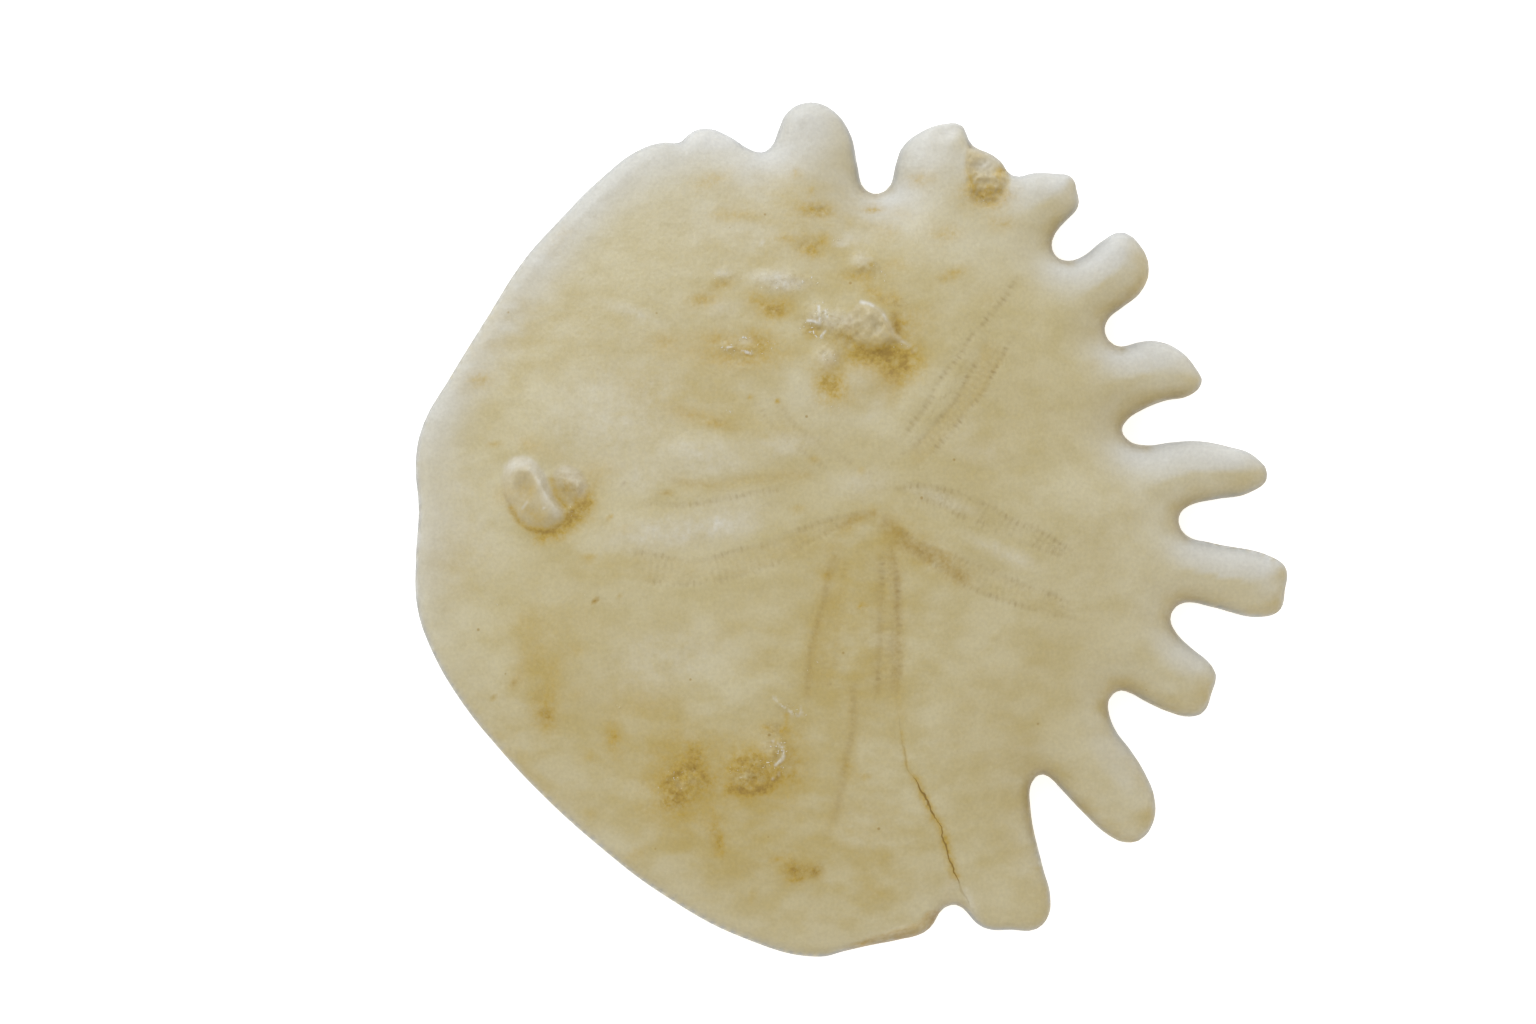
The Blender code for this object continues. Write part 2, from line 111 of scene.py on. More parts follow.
# The rows of pores, from the apex outwards
ROWS = {
    "rear_left_1": [
        (3.5, 6.3), (4.2, 7.3), (5.2, 8.7), (6.4, 10.8), (7.4, 12.0), (8.2, 13.3), (9.1, 14.3),
        (9.8, 15.2), (10.6, 16.1), (11.1, 16.9), (11.8, 17.8),
    ],
    "rear_left_2": [
        (3.8, 5.2), (5.2, 6.8), (6.1, 7.8), (6.8, 8.5), (7.6, 9.8), (8.1, 10.8), (8.7, 11.7), (9.5, 12.8),
    ],
    "rear_left_3": [
        (3.8, 4.2), (4.5, 4.5), (5.4, 5.2), (6.3, 6.3), (7.0, 7.0), (8.0, 8.4), (8.9, 9.2),
        (9.4, 10.1), (9.9, 11.2), (10.4, 12.0), (11.0, 13.1), (11.5, 13.6),
    ],
    "rear_right_1": [
        (2.4, 2.6), (3.8, 3.0), (5.5, 2.9), (6.9, 2.6), (8.0, 2.2), (9.7, 1.5), (10.4, 1.0),
        (11.8, 0.3), (12.9, 0.0), (14.3, -0.9), (15.3, -1.6), (16.0, -2.5),
    ],
    "rear_right_2": [
        (4.0, 2.2), (5.5, 1.9), (6.6, 1.4), (7.6, 0.9), (8.7, 0.5), (9.7, 0.0), (10.8, -0.5),
        (12.5, -1.1), (13.9, -1.6), (15.0, -2.1),
    ],
    "rear_right_3": [
        (2.7, 0.3), (3.8, -0.4), (4.8, -1.1), (6.6, -1.6), (7.6, -2.1), (9.4, -2.8), (10.4, -3.3),
        (11.5, -3.7), (12.9, -4.2), (14.3, -4.7), (15.7, -5.3),
    ],
    "rear_right_4": [
        (3.4, -0.7), (4.5, -1.8), (5.9, -2.5), (7.3, -3.4), (8.7, -4.2), (10.4, -4.9), (12.5, -5.5),
        (13.9, -5.8), (16.0, -6.3),
    ],
    "front_right_1": [(2.8, -1.2), (2.9, -2.1), (3.2, -4.9), (3.3, -7.7), (3.3, -10.5), (3.0, -11.6)],
    "front_right_2": [(2.2, -1.2), (2.1, -2.1), (2.0, -4.9), (1.9, -7.7), (1.8, -9.8), (1.7, -11.9)],
    "front_right_3": [(-0.3, -1.6), (-0.6, -3.5), (-0.8, -5.6), (-1.0, -7.7), (-1.2, -9.1), (-1.4, -11.5)],
    "front_right_4": [(-1.0, -1.1), (-1.7, -2.8), (-2.0, -4.9), (-2.8, -7.7), (-3.1, -10.5), (-3.2, -11.9)],
    "front_right_5": [(0.0, -10.5), (0.0, -13.3), (-0.4, -16.1), (-0.7, -18.2), (-1.5, -20.3), (-2.1, -22.4)],
    "front_1": [
        (1.0, 1.5), (-0.1, 1.0), (-1.5, 0.7), (-3.6, 0.0), (-5.0, -0.7), (-6.4, -1.1), (-7.8, -1.4),
        (-9.2, -1.85), (-10.6, -2.2), (-12.0, -2.1), (-13.4, -1.8), (-14.8, -1.6), (-16.0, -1.6),
    ],
    "front_2": [
        (0.5, 0.8), (-0.8, 0.3), (-2.2, -0.5), (-3.6, -1.3), (-4.7, -2.0), (-6.1, -2.6), (-7.5, -3.1),
        (-8.7, -3.4), (-10.6, -3.7), (-12.7, -3.7), (-15.0, -3.5),
    ],
    "front_3": [(-3.6, 3.8), (-6.4, 3.7), (-9.2, 3.5), (-10.6, 3.3), (-12.0, 3.3), (-14.8, 3.6)],
    "front_4": [
        (-4.5, 2.9), (-7.1, 2.5), (-8.2, 2.2), (-9.2, 2.0), (-10.6, 1.8), (-12.0, 1.7), (-13.4, 1.9),
        (-14.8, 1.6),
    ],
    "left_1": [(0.5, 4.2), (-1.5, 5.4), (-2.8, 6.3), (-4.0, 7.3), (-4.7, 8.2), (-5.2, 8.9), (-6.2, 10.2)],
    "left_2": [(-1.2, 3.8), (-2.8, 4.9), (-4.3, 6.1), (-5.7, 7.3), (-6.4, 8.4), (-7.1, 9.2)],
}
PORE_PITCH = 0.47
CRACK = [
    (3.0, -11.0), (3.45, -14.7), (3.82, -16.54), (4.1, -16.9), (4.55, -17.64), (5.53, -19.6), (6.15, -20.58),
    (6.51, -22.05), (7.25, -24.26), (7.74, -25.2), (8.1, -26.0),
]


class Layer(Enum):
    """What a point of the surface carries for its finish to read."""

    OCHRE = "ochre stain"
    # Washes of ochre, and painted shade on the rear fingers' sides that face away from the light
    WASH = "ochre wash"
    # The rim's paleness, with a painted highlight where it faces the light
    RIM = "pale rim"
    # Painted grey shade along the outline
    EDGE = "grey edge"
    # Brown stains, and painted shade at the notches, along the lower finger sides and under the lumps
    SHADE = "brown shade"
    CHALK = "chalky bloom"
    CRUST = "grainy crust"
    ROCK = "grey rock"
    PORE_ALONG = "pore row along"
    PORE_AWAY = "pore row away"
    PORE_SHOW = "pore row show"
    RIB_ALONG = "pore band along"
    RIB_SHOW = "pore band show"
    CRACK_AWAY = "crack away"
    CRACK_SHOW = "crack show"
    HOLLOW = "hollow"


Layers = dict[Layer, Socket]

# How fast a soft-edged place fades at the edge of its size, and a distance farther than all on the test
EDGE_FADE = 1.2
FAR = 1e3

# The random lattice that the grain repeats, and where on it the grain starts
LATTICE = 256
LATTICE_START = (100.37, 100.71)


@dataclass(frozen=True)
class Spot:
    """A soft-edged oval place on the test, seen from above.

    Args:
        x, y: Its centre.
        half_length, half_width: Half of its size along and across.
        turn_deg: The turn of its length from +X.
        amount: How strong it is in the middle, or how high in millimetres.
    """

    x: float
    y: float
    half_length: float
    half_width: float
    turn_deg: float
    amount: float

    def cover(self, x: Array, y: Array, hardness: float = 1.5, spread: float = 1.0) -> Array:
        """How much of the spot each point gets.

        Args:
            x, y: The points.
            hardness: 1 for a blurred edge, more for a flatter top and a clearer edge.
            spread: How much wider than its size it is taken.

        Returns:
            The amount at each point.
        """
        turn = math.radians(self.turn_deg)
        across_x, across_y = x - self.x, y - self.y
        along = (across_x * math.cos(turn) + across_y * math.sin(turn)) / (spread * self.half_length)
        across = (-across_x * math.sin(turn) + across_y * math.cos(turn)) / (spread * self.half_width)
        return self.amount * np.exp(-EDGE_FADE * (along**2 + across**2) ** hardness)


def spots(*rows: tuple[float, ...]) -> list[Spot]:
    """Make spots of a table's rows."""
    return [Spot(*row) for row in rows]


def covered(
    places: "Sequence[Spot | Trail]", x: Array, y: Array, hardness: float = 1.2, spread: float = 1.0
) -> Array:
    """How far a set of overlapping spots and trails covers each point, from 0 to 1."""
    bare = np.ones(len(x))
    for place in places:
        bare *= 1 - np.clip(place.cover(x, y, hardness, spread), 0, 1)
    return 1 - bare


@dataclass(frozen=True)
class Trail:
    """A soft-edged mark along a line on the test.

    Args:
        half_width: How far it reaches to each side.
        amount: How strong it is in the middle, or how high in millimetres.
        points: The points that it passes through.
    """

    half_width: float
    amount: float
    points: tuple[Point, ...]

    def cover(self, x: Array, y: Array, hardness: float = 1.0, spread: float = 1.0) -> Array:
        """How much of the mark each point gets; the arguments are a spot's."""
        reach = 3 * spread * self.half_width
        xs, ys = np.array(self.points).T
        near = (x > xs.min() - reach) & (x < xs.max() + reach)
        near &= (y > ys.min() - reach) & (y < ys.max() + reach)
        across = distance(x[near], y[near], smooth_line(self.points, 4)) / (spread * self.half_width)
        share = np.zeros(len(x))
        share[near] = self.amount * np.exp(-EDGE_FADE * across ** (2 * hardness))
        return share


def trails(*rows: tuple[float, float, tuple[Point, ...]]) -> list[Trail]:
    """Make trails of a table's rows."""
    return [Trail(*row) for row in rows]


def fade(value: Array, start: float, end: float) -> Array:
    """0 before start and 1 after end, with a smooth step between."""
    share = np.clip((value - start) / (end - start), 0, 1)
    return share**2 * (3 - 2 * share)


def smooth_line(points: Sequence[Point], steps: int = 5) -> Array:
    """Round off a line that is given by a few points.

    Args:
        points: The points that it passes through.
        steps: How many pieces each stretch becomes.

    Returns:
        The points of the rounded line, one per row.
    """
    knots = np.array(points, float)
    knots = np.vstack([2 * knots[0] - knots[1], knots, 2 * knots[-1] - knots[-2]])
    share = (np.arange(steps) / steps)[:, None]
    curve = []
    for before, start, end, after in zip(knots, knots[1:], knots[2:], knots[3:]):
        curve.append(
            0.5
            * (
                2 * start
                + (end - before) * share
                + (2 * before - 5 * start + 4 * end - after) * share**2
                + (3 * start - before - 3 * end + after) * share**3
            )
        )
    return np.vstack([*curve, knots[-2]])


def follow(x: Array, y: Array, line: Array) -> tuple[Array, Array]:
    """Measure points against a line.

    Args:
        x, y: The points.
        line: The line's own points.

    Returns:
        How far along the line each point is, and how far to the left of it, or to its right if negative.
    """
    along = np.zeros(len(x))
    away = np.full(len(x), FAR)
    done = 0.0
    for (ax, ay), (bx, by) in zip(line, line[1:]):
        ux, uy = bx - ax, by - ay
        length = math.hypot(ux, uy)
        share = ((x - ax) * ux + (y - ay) * uy) / length**2
        held = np.clip(share, 0, 1)
        gap = np.hypot(x - ax - held * ux, y - ay - held * uy)
        side = np.where(ux * (y - ay) - uy * (x - ax) >= 0, 1.0, -1.0)
        nearer = gap < np.abs(away)
        along = np.where(nearer, done + held * length, along)
        away = np.where(nearer, side * gap, away)
        done += length
    return along, away


def distance(x: Array, y: Array, line: Array) -> Array:
    """How far points are from a line."""
    return np.abs(follow(x, y, line)[1])


def lengths(line: Array) -> Array:
    """How far along a line each of its own points is."""
    return np.concatenate([[0], np.cumsum(np.hypot(*np.diff(line, axis=0).T))])


def even_line(line: Array, count: int) -> Array:
    """The same line with evenly spaced points."""
    done = lengths(line)
    at = np.linspace(0, done[-1], count)
    return np.stack([np.interp(at, done, line[:, 0]), np.interp(at, done, line[:, 1])], axis=1)


def pore_wave(along: Array) -> Array:
    """1 at each pore along a row, and 0 halfway between two of them."""
    return 0.5 + 0.5 * np.cos(2 * math.pi * along / PORE_PITCH)


def by_mouth(away: float, direction_deg: float) -> Point:
    """The point at this distance from the mouth, in this direction."""
    turn = math.radians(direction_deg)
    return MOUTH[0] + away * math.cos(turn), MOUTH[1] + away * math.sin(turn)


@dataclass(frozen=True)
class Grain:
    """Smooth random heights from about -1 to 1, the same on every run.

    Args:
        size: The size of the largest features.
        seed: Which random heights to take.
        octaves: How many sizes of features are laid over one another.
    """

    size: float
    seed: int
    octaves: int

    def at(self, x: Array, y: Array) -> Array:
        """The heights at these points."""
        total = np.zeros(len(x))
        share = 1.0
        for octave in range(self.octaves):
            lattice = np.random.default_rng(self.seed + octave).uniform(-1, 1, (LATTICE, LATTICE))
            gx = x / self.size * 2**octave + LATTICE_START[0]
            gy = y / self.size * 2**octave + LATTICE_START[1]
            ix, iy = np.floor(gx).astype(int), np.floor(gy).astype(int)
            fx, fy = gx - ix, gy - iy
            fx, fy = fx**2 * (3 - 2 * fx), fy**2 * (3 - 2 * fy)
            left, right = ix % LATTICE, (ix + 1) % LATTICE
            near, far = iy % LATTICE, (iy + 1) % LATTICE
            low = lattice[left, near] * (1 - fx) + lattice[right, near] * fx
            high = lattice[left, far] * (1 - fx) + lattice[right, far] * fx
            total += share * (low * (1 - fy) + high * fy)
            share /= 2
        return total


# The unevenness of the top, the crusts and the worn edges, each with its own seed
SLOW_WAVES = Grain(5.0, 3, 2)
FINE_WAVES = Grain(1.3, 11, 2)
CRUST_CRUMBS = Grain(0.6, 21, 3)
STREAK_BREAKS = Grain(0.3, 31, 2)
EDGE_WOBBLE = Grain(0.8, 41, 2)
STREAK_FLECKS = Grain(0.25, 51, 2)
LUMP_GRAIN = Grain(0.7, 61, 3)
LEDGE_STAIN = Grain(0.9, 71, 2)
CRACK_WOBBLE = Grain(0.55, 81, 3)
LEDGE_SHADE = Grain(0.8, 91, 3)

# Broad shapes of the top, in millimetres of height: swellings, hollows and pits
SWELLINGS = spots(
    (0.85, 18.6, 0.95, 0.8, 0, 0.26), (-1.75, 12.0, 0.85, 0.85, 0, 0.24), (-2.2, 14.8, 0.9, 0.7, -50, 0.16),
    (-22.2, 2.4, 3.4, 2.4, -60, 0.16), (1.2, 14.1, 2.4, 2.0, 0, 0.24), (-1.1, 14.4, 1.2, 0.9, 0, 0.16),
    (-2.3, 14.9, 1.2, 1.1, 0, 0.12), (-7.7, 12.9, 1.8, 1.0, -15, -0.02), (-4.9, 17.2, 2.2, 0.9, -4, 0.12),
    (-9.1, 15.6, 1.3, 0.8, 20, 0.05), (-8.9, 17.8, 0.9, 0.5, 20, 0.03), (0.9, 10.7, 1.7, 1.1, 0, 0.16),
    (-6.0, -16.3, 2.6, 2.0, 30, 0.20), (-11.6, -17.6, 2.0, 1.7, 50, 0.14), (-3.6, -23.6, 1.4, 0.9, 0, 0.08),
    (-12.8, 0.2, 5.4, 1.3, 4, 0.16), (-10.6, 5.5, 3.2, 1.1, 3, 0.14), (-5.0, 5.9, 2.6, 0.9, -30, 0.12),
    (4.6, 9.6, 4.6, 0.8, 57, 0.12), (6.9, 10.6, 4.6, 0.45, 57, 0.08), (9.6, -1.6, 4.6, 0.8, -24, 0.14),
    (7.0, 1.0, 3.4, 0.35, -22, 0.06), (0.6, -7.0, 0.9, 6.0, 0, 0.08), (1.0, 3.2, 1.6, 0.9, 8, 0.06),
    (-10.3, 15.9, 1.2, 0.45, 15, -0.05), (-8.9, 17.1, 0.9, 0.4, 25, -0.04),
    (-5.5, 15.3, 1.3, 0.6, -15, -0.06), (-2.6, 22.1, 1.1, 0.5, -5, -0.12), (-2.9, 19.6, 1.2, 0.6, 0, -0.10),
    (1.9, 11.9, 1.7, 0.5, 6, -0.14), (3.5, 11.5, 0.9, 0.7, 30, -0.12), (-1.5, 10.1, 0.9, 0.8, 0, -0.12),
    (-13.1, 12.9, 1.1, 0.5, 0, -0.06), (-7.6, 12.0, 2.0, 0.5, 0, -0.08), (-10.9, 7.9, 1.7, 0.4, -12, -0.06),
    (-20.6, -0.2, 1.7, 0.5, 15, -0.08), (5.6, -1.9, 1.8, 0.6, -27, -0.04),
    (-9.4, -21.6, 0.5, 1.1, 10, -0.06), (6.9, 27.8, 1.2, 0.5, 20, -0.35), (0.4, 17.7, 0.8, 0.35, 12, -0.10),
    (-3.9, -22.0, 6.0, 1.4, 10, 0.10), (-14.0, -14.0, 2.5, 1.2, -40, 0.10),
)

# Rough crusts of sediment: where, and how high their grains stand
CRUSTS = spots(
    (-6.9, -16.9, 1.7, 1.3, 20, 1.0), (-5.2, -15.3, 0.9, 1.3, 20, 0.8), (-11.7, -17.3, 1.7, 1.5, 30, 0.9),
    (-12.4, -18.9, 1.1, 0.6, 20, 0.8), (-10.8, -15.7, 0.6, 0.9, 0, 0.6), (-4.5, -12.4, 1.2, 0.35, -25, 0.5),
    (-5.4, -13.8, 0.9, 0.5, 0, 0.6), (-4.0, -23.7, 0.9, 0.8, 0, 0.7), (-2.6, -23.7, 0.6, 0.6, 0, 0.8),
    (-9.4, -21.7, 0.5, 1.0, 10, 0.4), (-7.9, 12.6, 1.6, 0.7, -12, 0.45), (-2.5, 14.5, 1.0, 1.0, 0, 0.9),
    (-1.0, 14.3, 1.2, 0.9, 0, 0.8), (-4.9, 17.2, 2.0, 0.75, -4, 0.8), (-10.3, 15.9, 1.2, 0.5, 15, 0.25),
    (-8.9, 17.3, 1.1, 0.7, 25, 0.35), (-0.4, 13.3, 1.0, 0.7, 0, 0.8), (2.7, 15.9, 1.3, 0.5, -15, 0.5),
    (-2.6, 22.1, 1.0, 0.5, -5, 0.7), (1.0, 18.2, 1.0, 0.7, -10, 0.5),
    (-1.75, 12.0, 0.9, 0.9, 0, 0.5), (-19.4, 3.2, 1.3, 0.9, -40, 0.7), (-19.5, 1.3, 0.9, 0.7, 40, 0.6),
    (-5.6, 15.3, 1.2, 0.5, -12, 0.3), (9.4, 23.4, 1.6, 0.6, 0, 0.5), (-3.0, 19.6, 1.3, 0.7, 0, 0.4),
    (-10.0, 7.6, 1.9, 0.5, -12, 0.3), (-7.6, 11.4, 1.8, 0.6, 0, 0.3), (-21.9, -12.0, 1.0, 1.8, 0, 0.3),
)

OCHRE_STAINS = [
    *spots(
        (-10.4, 15.95, 0.9, 0.40, 5, 0.70), (-9.05, 17.0, 0.6, 0.35, 10, 0.55),
        (-13.1, 13.0, 1.05, 0.55, 0, 0.45), (-2.6, 22.2, 1.0, 0.4, -5, 0.9), (-2.9, 23.5, 0.2, 0.2, 0, 0.8),
        (-3.9, 24.8, 0.35, 0.3, 0, 0.35), (-9.0, 21.9, 0.65, 0.4, 0, 0.4), (-7.4, 21.9, 0.7, 0.3, 0, 0.3),
        (-9.9, 24.3, 1.4, 0.55, 20, 0.3), (-2.9, 19.4, 0.7, 0.5, 0, 0.7), (-4.4, 20.3, 0.9, 0.3, 0, 0.45),
        (-2.1, 20.1, 0.5, 0.35, 30, 0.6), (0.45, 17.7, 0.75, 0.28, 5, 0.85),
        (1.3, 18.4, 0.14, 0.14, 0, 0.9), (2.9, 18.4, 0.9, 0.3, 0, 0.35), (3.1, 14.2, 0.42, 0.8, 15, 0.75),
        (1.95, 11.9, 1.7, 0.5, 5, 0.8), (3.6, 11.6, 0.7, 0.65, 0, 0.85), (2.6, 10.0, 0.5, 0.95, 0, 0.5),
        (-1.5, 10.1, 0.80, 0.90, 0, 0.95), (-1.0, 9.2, 1.05, 0.65, 0, 0.35),
        (-6.5, 13.1, 0.8, 0.5, -15, 0.8), (-9.8, 13.4, 0.7, 0.4, 0, 0.35), (-7.6, 12.0, 2.2, 0.5, 0, 0.6),
        (-9.2, 13.2, 0.7, 0.3, 0, 0.4), (-0.7, 13.4, 0.6, 0.4, 0, 0.6), (-2.8, 13.7, 0.5, 0.35, 0, 0.6),
        (-7.1, 9.2, 0.13, 0.13, 0, 0.9), (-5.2, 8.9, 0.13, 0.13, 0, 0.9), (6.3, 20.6, 0.85, 0.5, 0, 0.2),
        (6.9, 17.7, 0.9, 0.35, 25, 0.5), (1.4, 22.3, 0.4, 0.2, 0, 0.6), (4.8, 14.5, 1.0, 0.65, 50, 0.25),
        (7.4, -3.5, 0.4, 0.25, -30, 0.25), (2.8, 0.1, 0.55, 0.55, 0, 0.35),
        (-12.9, 2.6, 0.35, 0.15, 0, 0.6), (-3.8, 1.4, 0.35, 0.15, 0, 0.7),
        (-18.3, -2.0, 0.35, 0.15, 0, 0.8), (-17.8, -4.9, 0.12, 0.12, 0, 0.8),
        (-16.1, -4.7, 0.10, 0.14, 20, 0.6), (-15.7, 0.0, 0.2, 0.2, 0, 0.5), (0.6, -5.3, 0.3, 0.2, 0, 0.8),
        (-1.7, -3.3, 0.3, 0.3, 0, 0.5), (-2.7, 4.9, 0.3, 0.2, 0, 0.5), (0.6, 4.1, 0.2, 0.2, 0, 0.5),
        (-24.9, 5.95, 0.4, 0.15, 0, 0.5), (-22.6, 5.8, 0.4, 0.3, 0, 0.35), (-24.3, 2.4, 0.6, 0.6, 0, 0.4),
        (-18.9, 1.4, 0.6, 0.8, -40, 0.80), (-19.9, 2.7, 0.5, 0.7, -20, 0.55),
        (-16.8, 0.9, 0.15, 0.15, 0, 0.6), (-21.3, -13.0, 0.65, 0.85, 0, 0.80),
        (-21.8, -8.8, 1.1, 1.1, 0, 0.28), (-20.7, -9.6, 0.5, 0.7, 0, 0.26),
        (-23.6, -10.8, 0.3, 0.25, 20, 0.60), (-23.2, -10.3, 0.4, 0.5, 0, 0.30),
        (-19.2, -8.4, 0.6, 0.4, 20, 0.30), (-19.1, -11.4, 0.5, 0.4, 0, 0.25),
        (-21.0, -11.2, 0.5, 0.6, 0, 0.48), (-24.9, -11.7, 0.13, 0.13, 0, 0.80),
        (-22.6, -6.4, 0.9, 0.7, 0, 0.20), (-16.6, -14.5, 0.45, 0.95, 5, 0.70),
        (-18.3, -15.8, 0.6, 0.4, 0, 0.25), (-18.2, -19.8, 0.4, 0.3, 30, 0.30),
        (4.8, 24.4, 0.8, 0.5, 0, 0.38), (1.6, 22.4, 0.5, 0.25, 0, 0.30), (6.6, 20.6, 0.9, 0.5, 0, 0.25),
        (10.5, 21.3, 0.9, 0.5, 0, 0.34), (2.3, 20.7, 0.8, 0.5, 0, 0.25), (3.5, 22.0, 0.5, 0.4, 0, 0.18),
        (-15.0, -22.6, 0.55, 0.3, 35, 0.35), (-9.4, -21.6, 0.32, 0.8, 12, 0.7),
        (-9.7, -20.9, 0.4, 0.4, 0, 0.4), (-9.1, -22.5, 0.25, 0.25, 0, 0.5),
        (-6.9, -25.5, 0.2, 0.4, -10, 0.4), (1.7, -25.2, 0.7, 0.55, 0, 0.25),
        (-11.1, 8.0, 1.4, 0.4, -12, 0.5), (-9.5, 7.3, 0.85, 0.3, -10, 0.5), (-25.9, 10.5, 0.7, 0.5, 0, 0.4),
        (-0.3, -16.6, 0.35, 0.5, 20, 0.5), (0.9, -17.2, 0.3, 0.2, 0, 0.5),
        (-11.7, -17.4, 2.0, 2.3, 0, 0.68), (-12.4, -18.9, 1.0, 0.42, 20, 0.85),
        (-11.6, -20.0, 1.0, 0.2, -5, 0.35), (-4.8, -13.9, 0.28, 0.28, 0, 0.7),
        (-5.9, -13.8, 0.45, 0.25, 0, 0.5), (-4.1, -16.0, 0.8, 2.3, 0, 0.4),
        (-6.6, -16.6, 2.0, 1.6, 0, 0.74), (-4.0, -23.7, 0.7, 0.62, 0, 0.85),
        (-2.6, -23.7, 0.42, 0.45, 0, 0.7), (-2.65, -24.0, 0.14, 0.12, 0, 0.9),
        (-17.2, 4.2, 1.0, 0.65, 0, 0.2), (-20.4, 20.3, 1.3, 0.7, 40, 0.15),
        (16.7, 11.5, 0.55, 0.35, 0, 0.15), (9.4, 16.1, 1.0, 0.7, 30, 0.12),
        (-19.4, -6.3, 2.1, 1.3, 0, 0.15), (-14.8, -11.9, 2.1, 1.3, 0, 0.15),
        (-5.3, 15.3, 0.8, 0.5, -5, 0.60), (-7.9, 12.5, 2.7, 1.2, 0, 0.42), (2.8, 11.3, 1.3, 0.9, -20, 0.60),
        (8.7, 26.1, 0.8, 0.5, -10, 0.15), (0.8, 17.4, 1.6, 0.6, 0, 0.25), (0.6, 12.0, 1.6, 0.5, 5, 0.50),
        (4.3, 12.2, 0.5, 0.9, 20, 0.35), (3.6, 14.2, 0.6, 1.0, 0, 0.35), (-22.6, 2.8, 0.6, 0.8, 0, 0.40),
        (-22.1, 1.0, 0.9, 0.5, -35, 0.40), (-18.2, 3.4, 0.8, 1.0, 0, 0.25),
        (-21.6, 5.7, 1.6, 0.5, -30, 0.25), (2.9, 11.4, 1.0, 0.9, 0, 0.90), (2.4, 11.8, 1.3, 0.6, 0, 0.50),
        (9.4, 23.3, 1.3, 0.8, 0, 0.75), (10.4, 24.9, 0.35, 0.4, 0, 0.85), (8.3, 24.4, 0.35, 1.0, 0, 0.45),
        (5.2, -1.8, 1.6, 0.8, -32, 0.20), (6.8, -25.0, 0.2, 0.7, -15, 0.20),
        (-1.0, 12.6, 1.6, 1.8, 0, 0.15),
    ),
    *trails(
        (0.50, 0.60, ((-6.8, 16.1), (-6.1, 15.6), (-5.3, 15.3))),
        (0.45, 0.50, ((-4.6, 15.75), (-5.0, 15.3), (-5.5, 15.1))),
        (0.42, 0.55, ((1.3, 16.5), (2.2, 15.95), (2.9, 16.1))),
        # The trails under the side block and along the lower right of the front lump are ochre stain with the
        # lumps' painted shadow in it
        (0.34, 1.00, ((0.3, 12.6), (1.0, 12.25), (1.9, 12.15), (2.7, 12.5))),
        (
            0.45,
            0.90,
            ((-21.6, -0.40), (-20.7, -0.35), (-19.9, 0.1), (-19.2, 0.8), (-18.6, 1.6), (-18.5, 2.2)),
        ),
        (0.20, 0.80, ((-23.7, 1.5), (-23.2, 0.6), (-22.3, 0.0), (-21.3, -0.2), (-20.4, 0.2), (-19.8, 0.8))),
        (0.22, 0.70, ((-20.9, 3.4), (-20.6, 2.4), (-20.0, 1.7))),
        (
            0.32,
            1.00,
            ((-12.9, -17.7), (-12.2, -17.0), (-11.3, -16.5), (-10.5, -16.8), (-10.1, -17.5), (-10.3, -17.9)),
        ),
        (0.40, 0.65, ((-11.0, -15.2), (-10.8, -15.9), (-10.7, -16.5))),
        (0.25, 0.60, ((-13.3, -18.0), (-12.6, -18.4), (-11.9, -18.2), (-11.3, -18.5))),
        (0.22, 0.50, ((-9.6, -19.6), (-9.3, -20.6), (-9.1, -21.6), (-9.0, -22.4))),
        (0.34, 1.15, ((-8.4, -18.0), (-7.5, -18.2), (-6.6, -18.1), (-5.7, -17.7), (-5.2, -17.1))),
        (0.36, 0.65, ((-8.2, -16.5), (-7.4, -15.9), (-6.5, -16.0))),
        (0.12, 0.60, ((-4.6, -12.8), (-4.5, -13.6))),
        (0.18, 0.50, ((-5.5, -23.0), (-4.9, -22.8), (-4.3, -22.8))),
        (0.14, 0.70, ((-4.6, -24.4), (-4.1, -24.5), (-3.5, -24.3))),
        (0.65, 0.30, ((3.2, -0.4), (4.2, -1.1), (5.4, -1.8), (6.6, -2.5), (7.3, -3.2))),
        (0.35, 0.40, ((-0.6, 0.1), (0.4, 0.8), (1.4, 1.2))),
        (0.40, 0.20, ((-12.0, 3.3), (-10.6, 3.1), (-8.2, 3.2), (-6.4, 3.5), (-3.2, 3.8))),
        (0.50, 0.18, ((-1.2, -1.2), (-1.9, -3.0), (-2.2, -5.5), (-2.9, -8.2), (-3.1, -11.0))),
        (0.40, 0.13, ((-0.5, -2.5), (-0.8, -5.6), (-1.0, -8.0), (-1.4, -10.0))),
        (0.50, 0.12, ((1.9, -1.4), (1.9, -4.9), (1.9, -8.0), (1.7, -11.5))),
        (0.42, 0.18, ((2.6, -1.2), (3.1, -3.2), (3.2, -5.4), (3.3, -8.0), (3.2, -10.8), (3.3, -13.0))),
        (0.26, 0.75, ((4.4, -17.4), (5.1, -18.8), (5.6, -19.8), (6.2, -20.7), (6.6, -22.2), (7.2, -24.2))),
        (0.14, 0.40, ((3.4, -14.0), (3.8, -16.5), (4.3, -17.2))),
        (0.42, 0.14, ((0.0, -11.5), (0.0, -14.0), (-0.5, -16.5), (-0.9, -18.5), (-1.6, -20.5))),
    ),
]

# Where the crack stands open
CRACK_GAPES = trails(
    (0.6, 1.0, ((4.6, -17.7), (5.1, -18.7), (5.6, -19.6))),
    (0.6, 1.0, ((6.1, -20.6), (6.5, -22.0), (7.2, -24.1))),
)

